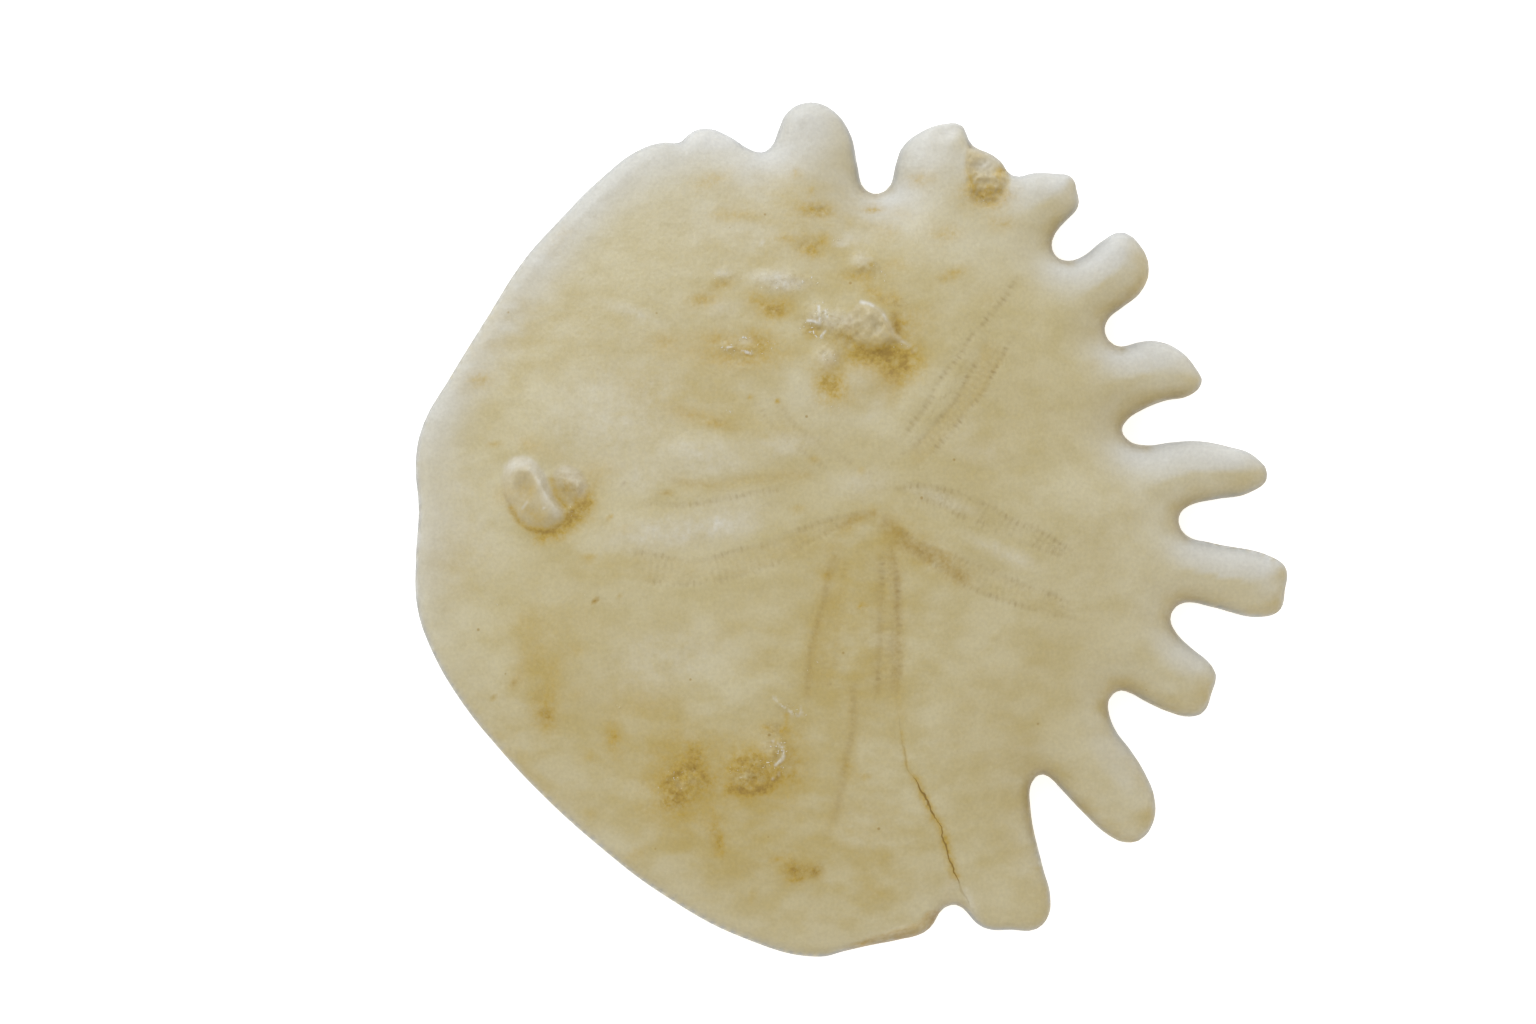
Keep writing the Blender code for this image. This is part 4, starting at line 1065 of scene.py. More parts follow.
    def band_places(self, x: Array, y: Array, band: PoreBand) -> tuple[Array, Array]:
        """Where points are in a band between two rows of pores.

        Args:
            x, y: The points.
            band: The band.

        Returns:
            How far along the band they are, and 1 between the rows, fading to 0 outside them.
        """
        first = even_line(self.rows[band.first], self.band_steps)
        second = even_line(self.rows[band.second], self.band_steps)
        middle = (first + second) / 2
        done = lengths(middle)
        along, away = follow(x, y, middle)
        half = np.interp(along, done, np.hypot(*(first - second).T) / 2)
        inside = 1 - fade(np.abs(away) / half, 0.7, 1.25)
        return along, inside * fade(along, 0.0, 1.0) * (1 - fade(along, done[-1] - 1.5, done[-1]))

    def top(self, x: Array, y: Array) -> Array:
        """Height of the finished top: the dome with its swellings, pits, petals, crusts and crack."""
        height = self.dome(x, y)
        height += self.slow_wave * SLOW_WAVES.at(x, y) + self.fine_wave * FINE_WAVES.at(x, y)
        for place in (*SWELLINGS, self.stump):
            height += place.cover(x, y)
        for lump in LUMPS:
            height += lump.rise(x, y)
        for band in PORE_BANDS:
            along, inside = self.band_places(x, y, band)
            height -= inside * (band.depth + self.rib_height * band.ribs * pore_wave(along))
            for name in (band.first, band.second):
                height -= self.row_groove(x, y, name, band.show)
        for name, show in SINGLE_ROWS.items():
            height -= self.row_groove(x, y, name, show)
        lumpy = 0.5 + 0.5 * CRUST_CRUMBS.at(x, y)
        height += covered(CRUSTS, x, y) * (self.crumb_height * lumpy - self.crust_sink)
        broken = np.clip(0.5 + 0.8 * STREAK_BREAKS.at(x, y), 0, 1)
        for streak in STREAKS:
            height += streak.height * streak.cover(x, y) * broken
        return height + self.crack_relief(x, y) - self.ledge_drop * self.broken_away(x, y)

    def crack_relief(self, x: Array, y: Array) -> Array:
        """How the top dips into the crack and rises to the lip beside it."""
        along, away = self.crack_place(x, y)
        dip = self.crack_dip * np.exp(-((away / self.crack_dip_reach) ** 2))
        lip = self.crack_lip * np.exp(-(((away - self.crack_lip_away) / self.crack_lip_reach) ** 2))
        return fade(along, 0, 6) * (lip - dip)

    def broken_away(self, x: Array, y: Array) -> Array:
        """How far the top has come off along the broken edge: 1 fully, 0 not at all."""
        away = distance(x, y, smooth_line(BROKEN_EDGE)) + self.edge_wobble * EDGE_WOBBLE.at(x, y)
        return fade(x, -0.5, 3.5) * (1 - fade(away, 0.4 * self.ledge_width, 1.5 * self.ledge_width))

    def crack_place(self, x: Array, y: Array) -> tuple[Array, Array]:
        """How far along the crack points are, and how far to the side of its uneven line."""
        along, away = follow(x, y, smooth_line(CRACK))
        return along, away + self.crack_wobble * CRACK_WOBBLE.at(x, y)

    def row_groove(self, x: Array, y: Array, name: str, show: float) -> Array:
        """How deep a row of pores is cut at each point."""
        along, away = follow(x, y, self.rows[name])
        return show * self.pore_depth * (1 + pore_wave(along)) * np.exp(-((away / self.pore_reach) ** 2))

    def underside(self, x: Array, y: Array) -> Array:
        """Height of the underside: flat near the rim, hollow towards the mouth, with its grooves."""
        from_mouth = np.hypot(x - MOUTH[0], y - MOUTH[1])
        height = self.hollow_depth * np.clip(1 - (from_mouth / self.hollow_radius) ** 2, 0, 1) ** 2
        height += self.food_grooves(x, y)
        vent = by_mouth(self.vent_from_mouth, self.rear_axis_deg)
        for place, radius, depth in (
            (MOUTH, self.mouth_radius, self.mouth_depth),
            (vent, self.vent_radius, self.vent_depth),
        ):
            height += Spot(*place, radius, radius, 0, depth).cover(x, y)
        return height

    def food_grooves(self, x: Array, y: Array) -> Array:
        """How much the forked food grooves cut into the underside."""
        cut = np.zeros(len(x))
        for direction in self.petal_directions:
            for side in (-1, 1):
                fork = by_mouth(self.food_trunk_length, direction)
                end = by_mouth(self.food_groove_length, direction + side * self.food_fork_deg)
                away = distance(x, y, smooth_line([MOUTH, fork, end]))
                cut = np.maximum(cut, np.exp(-((away / self.food_groove_half_width) ** 2)))
        from_mouth = np.hypot(x - MOUTH[0], y - MOUTH[1])
        end = self.food_groove_length
        return self.food_groove_depth * cut * (1 - fade(from_mouth, end - 5, end))

    def build(self) -> bpy.types.Mesh:
        """Make the test's mesh and write what its finish reads.

        Returns:
            The mesh, in metres.
        """
        mesh = self.plate()
        self.refine(mesh, self.near_petals)
        self.refine(mesh, self.near_crusts)
        x, y, z = read_points(mesh)
        level = np.clip(z / self.rim_thickness + 0.5, 0, 1)
        level[level < 0.01] = 0
        low, high = self.underside(x, y), self.top(x, y)
        write_points(mesh, x, y, low + level * (high - low))
        for layer, values in WeatherAndPaintedLight(self, x, y, level).layers().items():
            write_layer(mesh, layer, values)
        return mesh


@dataclass(frozen=True)
class WeatherAndPaintedLight:
    """What time has done to the test, with light and shade painted in: its stains, the bleach along its rim
    with a painted highlight where the rim faces the light, painted shade along the outline, at the notches
    and under the lumps, its dirt and its chalky bloom.

    Args:
        test: The test.
        x, y: The points of its mesh, seen from above.
        level: How far up each point is through the thickness, from 0 to 1.
    """

    test: Test
    x: Array
    y: Array
    level: Array
    stain_hardness: float = 0.9
    stain_spread: float = 1.36
    groove_ochre: float = 0.45
    pit_ochre: float = 0.8
    pit_height: float = 0.9
    ledge_ochre: float = 0.32
    ledge_shade: float = 0.24
    ledge_rock: float = 0.6
    streak_spread: float = 1.2
    row_reach: float = 0.6
    crack_reach: float = 0.5
    crack_closed: float = 0.25
    # The painted shade on the far sides, the rim's bleach, the rear fingers' bleach with painted light, the
    # painted highlight of the lit side, and the painted grey shade of the edge and the outline
    away_side_shade_share: float = 0.36
    rim_bleach: float = 0.08
    finger_bleach_and_light: float = 0.10
    lit_side_highlight: float = 0.50
    edge_shade_grey: float = 0.34
    outline_shade_grey: float = 0.48

    def layers(self) -> dict[Layer, Array]:
        """Work out what the finish reads.

        Returns:
            For each layer, one number per point.
        """
        x, y = self.x, self.y
        top = fade(self.level, 0.45, 0.85)
        upper = fade(self.level, 0.2, 0.6)
        lower = 1 - fade(self.level, 0.02, 0.3)
        crust, shade, ledge = covered(CRUSTS, x, y), covered(SHADES_AND_BROWN_STAINS, x, y), self.ledge()
        rock = sum(lump.cover(x, y) for lump in LUMPS)
        ochre, along_rib, rib_show = self.bands()
        row_along, row_away, row_show = self.rows()
        crack_along, crack_away = self.test.crack_place(x, y)
        gaping = self.crack_closed + (1 - self.crack_closed) * covered(CRACK_GAPES, x, y, 2.0)
        crack_show = gaping * fade(crack_along, 0, 5) * np.exp(-((crack_away / self.crack_reach) ** 2))
        ledge_ochre = ledge * upper * (self.ledge_ochre + 0.15 * LEDGE_STAIN.at(x, y))
        ledge_shade = ledge * upper * (self.ledge_shade + 0.12 * LEDGE_SHADE.at(x, y))
        return {
            Layer.OCHRE: top * ochre + lower * self.ochre_below() + ledge_ochre,
            Layer.SHADE: top * shade + ledge_shade,
            Layer.CHALK: top * self.chalk(),
            Layer.ROCK: top * rock + self.ledge_rock * ledge * upper,
            Layer.CRUST: top * crust,
            Layer.PORE_ALONG: row_along,
            Layer.PORE_AWAY: row_away,
            Layer.PORE_SHOW: top * row_show,
            Layer.RIB_ALONG: along_rib,
            Layer.RIB_SHOW: top * rib_show,
            Layer.CRACK_AWAY: crack_away,
            Layer.CRACK_SHOW: top * crack_show,
            Layer.HOLLOW: top * crust * np.clip(0.5 - 0.5 * CRUST_CRUMBS.at(x, y), 0, 1),
            **self.rims(top, shade, ledge, rock),
        }

    def rims(self, top: Array, shade: Array, ledge: Array, rock: Array) -> dict[Layer, Array]:
        """The layers that follow the outline: the rim is paler from bleaching, with a painted highlight where
        it faces the light and painted shade where it faces away.

        Args:
            top: How far each point is on the top.
            shade, ledge, rock: How much of each it gets.

        Returns:
            The washes of ochre with the painted shade, the rim's paleness with its painted highlight, and the
            painted grey shade of the very edge.
        """
        x, y = self.x, self.y
        inwards = self.test.rim_distance(x, y)
        # How far the edge faces the light: the painted highlight goes there
        lit_side = fade(self.test.light_facing(x, y), -0.4, 0.95)
        # Painted shade: a warm darkening on the rear fingers' sides that face away from the light
        away_side_shade = self.away_side_shade_share * (1 - lit_side) * (1 - fade(inwards, 0.4, 1.8)) * fade(x, 10, 16)
        wash = 1 - (1 - away_side_shade) * (1 - covered(WASHES, x, y, 1.0))
        # The rim's paleness: bleaching all round; on the rear fingers, bleaching with painted light; and a
        # painted highlight where the rim faces the light
        rim = self.rim_bleach + self.finger_bleach_and_light * fade(x, 10, 19) + self.lit_side_highlight * lit_side
        rim = rim * (1 - fade(inwards, 0.3, 4.2))
        pale_and_lit = 1 - (1 - rim) * (1 - covered(PALE_AND_LIT_PLACES, x, y))
        bare = (1 - ledge) * (1 - 0.8 * np.clip(rock, 0, 1)) * (1 - np.clip(2.5 * shade, 0, 1))
        # Painted grey shade along the outline, less where the edge faces the light, with a thin darker line
        # at the very edge
        band = (self.edge_shade_grey - 0.19 * lit_side) * (1 - fade(inwards, 0.12, 0.7))
        line = (self.outline_shade_grey - 0.20 * lit_side) * (1 - fade(inwards, 0.1, 0.34))
        return {
            Layer.WASH: wash * (0.5 + 0.5 * top),
            Layer.RIM: pale_and_lit * bare,
            Layer.EDGE: band * (1 - np.clip(3.0 * shade, 0, 1)) + line,
        }

    def ochre_below(self) -> Array:
        """The ochre on the underside: in the food grooves, the mouth and the vent."""
        grooves = self.test.food_grooves(self.x, self.y) / self.test.food_groove_depth
        pits = self.test.underside(self.x, self.y) > self.pit_height
        return self.groove_ochre * grooves + self.pit_ochre * pits

    def ledge(self) -> Array:
        """How far points are on the bare ledge along the broken edge."""
        away = distance(self.x, self.y, smooth_line(BROKEN_EDGE))
        reach = 0.35 + 0.45 * fade(self.x, 0.0, 4.0) + self.test.edge_wobble * EDGE_WOBBLE.at(self.x, self.y)
        return fade(self.x, -1.5, 1.0) * (1 - fade(away - reach, -0.1, 0.3))

    def chalk(self) -> Array:
        """The chalky bloom, with the white crests over it."""
        chalk = covered(CHALKY_PLACES, self.x, self.y)
        flecks = np.clip(0.5 + 1.1 * STREAK_FLECKS.at(self.x, self.y), 0, 1)
        for streak in STREAKS:
            crest = streak.white * flecks * streak.cover(self.x, self.y, self.streak_spread)
            chalk = np.maximum(chalk, crest)
        return chalk

    def bands(self) -> tuple[Array, Array, Array]:
        """Go over the bands between the rows of pores.

        Returns:
            The ochre of the top, how far along a band points are, and how clear its ribs are.
        """
        ochre = covered(OCHRE_STAINS, self.x, self.y, self.stain_hardness, self.stain_spread)
        along_rib, rib_show = np.zeros(len(self.x)), np.zeros(len(self.x))
        for band in PORE_BANDS:
            along, inside = self.test.band_places(self.x, self.y, band)
            along_rib = np.where(inside > rib_show, along, along_rib)
            ochre = 1 - (1 - ochre) * (1 - band.tint * inside)
            rib_show = np.maximum(rib_show, inside * band.ribs)
        return ochre, along_rib, rib_show

    def rows(self) -> tuple[Array, Array, Array]:
        """Find the nearest row of pores.

        Returns:
            How far along it points are, how far to its side, and how clear its pores are.
        """
        shows = {band.first: band.show for band in PORE_BANDS}
        shows |= {band.second: band.show for band in PORE_BANDS} | SINGLE_ROWS
        row_along, row_show = np.zeros(len(self.x)), np.zeros(len(self.x))
        row_away = np.full(len(self.x), FAR)
        for name, show in shows.items():
            line = self.test.rows[name]
            along, away = follow(self.x, self.y, line)
            nearer = np.abs(away) < np.abs(row_away)
            length = lengths(line)[-1]
            seen = show * fade(along, 0, 1.2) * (1 - fade(along, length - 1.5, length))
            row_along = np.where(nearer, along, row_along)
            row_away = np.where(nearer, away, row_away)
            row_show = np.where(nearer, seen * np.exp(-((away / self.row_reach) ** 2)), row_show)
        return row_along, row_away, row_show


@dataclass(frozen=True)
class GrainCluster:
    """A scatter of sugary calcite crystals.

    Args:
        x, y: Its middle.
        spread_x, spread_y: How far the crystals scatter along each axis.
        count: How many there are.
        size: Their mean size.
    """

    x: float
    y: float
    spread_x: float
    spread_y: float
    count: int
    size: float


@dataclass
class Grains:
    """The small white crystals that sparkle on the crusts.

    Args:
        clusters: Where they are.
        name: The piece's name.
        seed: Which random places and turns to take.
        fineness: The size of the crystals beside the size that a cluster gives.
        sink: How deep a crystal sits, as a share of its size.
    """

    clusters: list[GrainCluster]
    name: str = "calcite_grains"
    seed: int = 5
    fineness: float = 0.7
    sink: float = 0.05

    def build(self, test: Test) -> bpy.types.Mesh:
        """Scatter the crystals over the top of the test.

        Args:
            test: The test that carries them.

        Returns:
            One mesh of all the crystals.
        """
        rng = np.random.default_rng(self.seed)
        places, sizes = [], []
        for cluster in self.clusters:
            spread = rng.normal(0, 1, (cluster.count, 2)) * (cluster.spread_x, cluster.spread_y)
            places.append(spread + (cluster.x, cluster.y))
            sizes.append(self.fineness * cluster.size * rng.uniform(0.5, 1.3, cluster.count))
        places, sizes = np.vstack(places), np.concatenate(sizes)
        heights = test.top(places[:, 0], places[:, 1])
        crystals = bmesh.new()
        for (x, y), z, size in zip(places, heights, sizes):
            turn = Euler(rng.uniform(0, 2 * math.pi, 3)).to_matrix().to_4x4()
            long, thin = rng.uniform(0.6, 1.2), rng.uniform(0.14, 0.32)
            shape = Matrix.Diagonal((size * MM * long, size * MM * thin, size * MM * thin, 1))
            spot = Matrix.Translation(Vector((x, y, z - self.sink * size)) * MM)
            bmesh.ops.create_icosphere(crystals, subdivisions=1, radius=1.0, matrix=spot @ turn @ shape)
        mesh = bpy.data.meshes.new(self.name)
        crystals.to_mesh(mesh)
        crystals.free()
        return mesh


CRYSTALS = Grains(
    [
        GrainCluster(*row)
        for row in (
            (-2.3, 15.3, 0.35, 0.25, 9, 0.22),
            (-2.8, 14.0, 0.4, 0.3, 12, 0.22),
            (-1.7, 14.8, 0.3, 0.35, 8, 0.20),
            (-2.1, 13.4, 0.3, 0.3, 7, 0.18),
            (-1.7, 12.0, 0.25, 0.25, 7, 0.20),
            (-7.6, 13.2, 0.25, 0.2, 7, 0.20),
            (-8.5, 12.6, 0.5, 0.2, 9, 0.17),
            (-7.2, 12.4, 0.35, 0.2, 8, 0.17),
            (-5.8, 12.7, 0.25, 0.2, 6, 0.16),
            (2.0, 17.7, 0.2, 0.2, 6, 0.20),
            (1.4, 18.4, 0.15, 0.2, 3, 0.18),
            (-0.8, 20.1, 0.3, 0.1, 5, 0.20),
            (-4.9, 17.2, 1.2, 0.4, 26, 0.17),
            (-8.9, 17.9, 0.5, 0.3, 8, 0.15),
            (-5.0, -15.2, 0.25, 0.5, 16, 0.22),
            (-5.5, -16.4, 0.5, 0.3, 14, 0.18),
            (-4.3, -12.6, 0.6, 0.25, 14, 0.16),
            (-8.0, -16.8, 0.5, 0.4, 10, 0.15),
            (-12.5, -17.4, 0.5, 0.5, 10, 0.15),
            (3.3, 12.8, 0.3, 0.2, 5, 0.17),
            (9.2, 22.9, 0.6, 0.3, 6, 0.12),
            (-8.7, 8.2, 0.25, 0.12, 3, 0.20),
            (-1.2, 8.5, 0.2, 0.12, 2, 0.20),
            (-19.3, 1.3, 0.3, 0.3, 5, 0.14),
            (-24.5, -5.3, 0.10, 0.10, 2, 0.14),
            (-18.9, -4.6, 0.15, 0.08, 2, 0.14),
            (-16.2, -12.4, 0.10, 0.10, 2, 0.16),
            (-2.9, -9.6, 0.3, 0.2, 2, 0.12),
        )
    ]
)


def linear(hex_colour: str) -> Colour:
    """Turn a colour as it is on a screen, such as "c8beaa", into the linear numbers a shader works in."""
    channels = [int(hex_colour[start : start + 2], 16) / 255 for start in (0, 2, 4)]
    red, green, blue = (c / 12.92 if c <= 0.04045 else ((c + 0.055) / 1.055) ** 2.4 for c in channels)
    return red, green, blue, 1.0


def per_mm(size: float) -> float:
    """The scale of a pattern whose features have this size in millimetres."""
    return 1 / (size * MM)


class Surface:
    """A material under construction."""

    def __init__(self, name: str) -> None:
        """Start a material with a bare Principled shader."""
        self.material = bpy.data.materials.new(name)
        self.material.use_nodes = True
        self.tree = self.material.node_tree
        self.shader = self.tree.nodes["Principled BSDF"]

    def add(
        self, kind: str, inputs: Inputs | None = None, output: int | str = 0, **settings: str | float | bool
    ) -> Socket:
        """Add a node with its settings and links.

        Args:
            kind: The node's type, without the words that all shader nodes start with.
            inputs: For each input, by name or number, its value or the socket that feeds it.
            output: Which of its outputs is wanted.
            settings: The node's own settings.

        Returns:
            The wanted output.
        """
        node = self.tree.nodes.new("ShaderNode" + kind)
        for name, value in settings.items():
            setattr(node, name, value)
        self.connect(node, inputs or {})
        return node.outputs[output]

    def connect(self, node: bpy.types.Node, inputs: Inputs) -> None:
        """Feed or set a node's inputs."""
        for socket, value in inputs.items():
            if isinstance(value, Socket):
                self.tree.links.new(value, node.inputs[socket])
            else:
                node.inputs[socket].default_value = value


class Noise(Enum):
    """The test's noises: which one of its kind, the size of its features, its detail and its roughness."""

    MOTTLE = (2.0, 1.5, 5.0, 0.5)
    RAGS = (3.0, 0.7, 6.0, 0.65)
    WEAR = (4.0, 2.2, 3.0, 0.5)
    WAVES = (5.0, 1.0, 5.0, 0.5)
    TOOTH = (6.0, 0.25, 3.0, 0.5)
    CRUMBS = (7.0, 0.32, 4.0, 0.6)
    PORE_FILL = (8.0, 1.1, 3.0, 0.5)
    CRACK_WIDTH = (9.0, 1.6, 3.0, 0.5)
    SPECKLE = (11.0, 0.26, 2.0, 0.5)
    DUST = (12.0, 0.24, 2.0, 0.5)
    PORE_DRIFT = (13.0, 0.7, 2.0, 0.5)


Noises = dict[Noise, Socket]


@dataclass(frozen=True)
class FossilCalcite:
    """Worn, waxy calcite of a fossil test: smooth, faintly cloudy, and soft at thin edges."""

    cream: str = "bfb285"
    pale: str = "cbc29f"
    olive: str = "b7a870"
    # Ochre of the washes, also used for the painted shade on the rear fingers' far sides
    wash: str = "b7a157"
    ochre: str = "b89b3b"
    deep_ochre: str = "9a7a28"
    chalk: str = "dad8cf"
    # Bluish white for the rim's paleness and its painted highlight
    rim: str = "d4d7da"
    # Grey for the painted shade along the outline
    edge: str = "898d94"
    # Brown for the painted shade at the notches and under the lumps, and for the brown stains
    shade_and_stain_brown: str = "84642a"
    rock: str = "bcb090"
    pore: str = "8a7038"
    crack_brown: str = "876a20"

    def material(self) -> bpy.types.Material:
        """Build the finish."""
        s = Surface("worn fossil calcite")
        place = s.add("TexCoord", output="Object")
        read = {layer: s.add("Attribute", output="Fac", attribute_name=layer.value) for layer in Layer}
        drawn = s.add("Mapping", {"Vector": place, "Rotation": (0, 0, 0.15), "Scale": (0.6, 1.0, 1.0)})
        noise = {
            kind: s.add(
                "TexNoise",
                {
                    "Vector": drawn if kind is Noise.MOTTLE else place,
                    "W": kind.value[0],
                    "Scale": per_mm(kind.value[1]),
                    "Detail": kind.value[2],
                    "Roughness": kind.value[3],
                },
                noise_dimensions="4D",
            )
            for kind in Noise
        }
        pores = self.pores(s, read, noise)
        s.connect(
            s.shader,
            {
                "Base Color": self.colour(s, place, read, noise, pores),
                "Roughness": self.gloss(s, read, noise),
                "Normal": self.relief(s, read, noise, pores),
                "IOR": 1.55,
                "Subsurface Weight": 0.3,
                "Subsurface Radius": (1.0, 0.95, 0.85),
                "Subsurface Scale": 0.0007,
            },
        )
        return s.material

    def colour(self, s: Surface, place: Socket, read: Layers, noise: Noises, pores: Socket) -> Socket:
        """Cream calcite with soft clouds, washed and stained with ochre, and chalky where it is worn; with
        light and shade painted in: a bluish highlight on the rim where it faces the light, and painted shade
        in grey along the outline and in brown at the notches and under the lumps.

        Args:
            s: The material.
            place: Where each point is.
            read: The test's layers.
            noise: The noises.
            pores: The rows of pores.

        Returns:
            The colour.
        """
        broad = s.add("TexNoise", {"Vector": place, "Scale": per_mm(6.5), "Detail": 3.0})
        broad = s.add("MapRange", {"Value": broad, "From Min": 0.30, "From Max": 0.72})
        mottle = noise[Noise.MOTTLE]
        patches = s.add("MapRange", {"Value": mottle, "From Min": 0.41, "From Max": 0.67, "To Max": 0.48})
        rock = s.add("Math", {0: read[Layer.ROCK], 1: 0.75}, operation="MULTIPLY")
        cloudy = s.add(
            "MapRange", {"Value": mottle, "From Min": 0.36, "From Max": 0.64, "To Min": 0.35, "To Max": 1.5}
        )
        wash = s.add("Math", {0: read[Layer.WASH], 1: cloudy}, operation="MULTIPLY", use_clamp=True)
        crumbs = noise[Noise.CRUMBS]
        gaps = s.add("MapRange", {"Value": crumbs, "From Min": 0.50, "From Max": 0.36, "To Max": 0.50})
        gaps = s.add("Math", {0: gaps, 1: read[Layer.CRUST]}, operation="MULTIPLY")
        tops = s.add("MapRange", {"Value": crumbs, "From Min": 0.54, "From Max": 0.68, "To Max": 0.34})
        tops = s.add("Math", {0: tops, 1: read[Layer.CRUST]}, operation="MULTIPLY")
        light, deep, bloom, shade = self.stains(s, read, noise)
        coats = [
            (patches, self.olive),
            (rock, self.rock),
            # The rim's paleness with its painted highlight
            (read[Layer.RIM], self.rim),
            # Painted grey shade along the outline
            (read[Layer.EDGE], self.edge),
            # Washes of ochre with painted shade
            (wash, self.wash),
            (light, self.ochre),
            (deep, self.deep_ochre),
            (gaps, self.deep_ochre),
            (tops, self.pale),
            (bloom, self.chalk),
            # Brown stains with painted shade
            (shade, self.shade_and_stain_brown),
            (s.add("Math", {0: pores, 1: 0.55}, operation="MULTIPLY", use_clamp=True), self.pore),
            (s.add("Math", {0: self.specks(s, place), 1: 0.6}, operation="MULTIPLY"), self.deep_ochre),
            (s.add("Math", {0: self.crack(s, read, noise), 1: 0.95}, operation="MULTIPLY"), self.crack_brown),
        ]
        colour = s.add("Mix", {0: broad, 6: linear(self.cream), 7: linear(self.pale)}, 2, data_type="RGBA")
        for share, coat in coats:
            colour = s.add("Mix", {0: share, 6: colour, 7: linear(coat)}, 2, data_type="RGBA")
        dust = s.add(
            "MapRange",
            {"Value": noise[Noise.DUST], "From Min": 0.3, "From Max": 0.7, "To Min": 0.95, "To Max": 1.05},
        )
        return s.add("HueSaturation", {"Value": dust, "Color": colour})

    def stains(self, s: Surface, read: Layers, noise: Noises) -> tuple[Socket, Socket, Socket, Socket]:
        """Ragged, speckled marks that follow the layers.

        Args:
            s: The material.
            read: The test's layers.
            noise: The noises.

        Returns:
            How strong the light ochre, the deep ochre, the chalky bloom, and the brown stains with the
            painted shade are.
        """
        ragged = s.add(
            "MapRange",
            {"Value": noise[Noise.RAGS], "From Min": 0.35, "From Max": 0.65, "To Min": 0.55, "To Max": 1.35},
        )
        speckle = s.add(
            "MapRange",
            {
                "Value": noise[Noise.SPECKLE],
                "From Min": 0.34,
                "From Max": 0.66,
                "To Min": 0.74,
                "To Max": 1.26,
            },
        )
        stain = s.add("Math", {0: read[Layer.OCHRE], 1: ragged}, operation="MULTIPLY")
        stain = s.add("Math", {0: stain, 1: speckle}, operation="MULTIPLY")
        light = s.add("MapRange", {"Value": stain, "From Min": 0.02, "From Max": 0.80, "To Max": 0.90})
        deep = s.add("MapRange", {"Value": stain, "From Min": 0.75, "From Max": 1.25, "To Max": 0.7})
        hollow = read[Layer.HOLLOW]
        deep = s.add("Math", {0: hollow, 1: 0.25, 2: deep}, operation="MULTIPLY_ADD", use_clamp=True)
        bloom = s.add("Math", {0: read[Layer.CHALK], 1: ragged}, operation="MULTIPLY")
        bloom = s.add("MapRange", {"Value": bloom, "From Min": 0.02, "From Max": 0.95})
        shade = s.add("Math", {0: read[Layer.SHADE], 1: ragged}, operation="MULTIPLY")
        shade = s.add("Math", {0: shade, 1: speckle}, operation="MULTIPLY", use_clamp=True)
        return light, deep, bloom, shade

    def gloss(self, s: Surface, read: Layers, noise: Noises) -> Socket:
        """Waxy where it is worn smooth, and duller on the crusts."""
        worn = s.add("Math", {0: noise[Noise.WEAR], 1: 0.2, 2: 0.36}, operation="MULTIPLY_ADD")
        return s.add("Math", {0: read[Layer.CRUST], 1: 0.2, 2: worn}, operation="MULTIPLY_ADD")

    def relief(self, s: Surface, read: Layers, noise: Noises, pores: Socket) -> Socket:
        """Fine unevenness everywhere, crumbs on the crusts, and sunken pores.

        Args:
            s: The material.
            read: The test's layers.
            noise: The noises.
            pores: The rows of pores.

        Returns:
            The direction that the surface faces.
        """
        crumbs = s.add("Math", {0: noise[Noise.CRUMBS], 1: read[Layer.CRUST]}, operation="MULTIPLY")
        normal = s.add("Bump", {"Height": noise[Noise.WAVES], "Distance": 0.10 * MM, "Strength": 1.0})
        for height, depth, sunken in (
            (noise[Noise.TOOTH], 0.02, False),
            (crumbs, 0.13, False),
            (pores, 0.015, True),
        ):
            inputs = {"Height": height, "Distance": depth * MM, "Strength": 1.0, "Normal": normal}
            normal = s.add("Bump", inputs, invert=sunken)
        return normal

    def pores(self, s: Surface, read: Layers, noise: Noises) -> Socket:
        """Soft rows of pores with a short furrow across the row at each, some of them filled.

        Args:
            s: The material.
            read: The test's layers.
            noise: The noises.

        Returns:
            How clear a pore or the furrow between two ribs is, from 0 to 1.
        """
        away = s.add("Math", {0: read[Layer.PORE_AWAY]}, operation="ABSOLUTE")
        uneven = noise[Noise.PORE_DRIFT]
        turn = s.add("Math", {0: read[Layer.PORE_ALONG], 1: 2 * math.pi / PORE_PITCH}, operation="MULTIPLY")
        turn = s.add("Math", {0: uneven, 1: 5.0, 2: turn}, operation="MULTIPLY_ADD")
        wave = s.add("Math", {0: turn}, operation="COSINE")
        tick = s.add(
            "MapRange", {"Value": wave, "From Min": -0.1, "From Max": 0.9}, interpolation_type="SMOOTHSTEP"
        )
        reach = s.add(
            "MapRange", {"Value": away, "From Min": 0.42, "From Max": 0.10}, interpolation_type="SMOOTHSTEP"
        )
        tick = s.add("Math", {0: tick, 1: reach}, operation="MULTIPLY")
        line = s.add(
            "MapRange",
            {"Value": away, "From Min": 0.34, "From Max": 0.0, "To Max": 0.5},
            interpolation_type="SMOOTHSTEP",
        )
        clear = s.add(
            "MapRange", {"Value": uneven, "From Min": 0.36, "From Max": 0.60, "To Min": 0.2, "To Max": 0.9}
        )
        line = s.add("Math", {0: tick, 1: clear, 2: line}, operation="MULTIPLY_ADD")
        filled = s.add(
            "MapRange", {"Value": noise[Noise.PORE_FILL], "From Min": 0.36, "From Max": 0.62, "To Min": 0.15}
        )
        pores = s.add("Math", {0: line, 1: filled}, operation="MULTIPLY")
        pores = s.add("Math", {0: pores, 1: read[Layer.PORE_SHOW]}, operation="MULTIPLY")
        furrows = s.add("Math", {0: read[Layer.RIB_ALONG], 1: 2 * math.pi / PORE_PITCH}, operation="MULTIPLY")
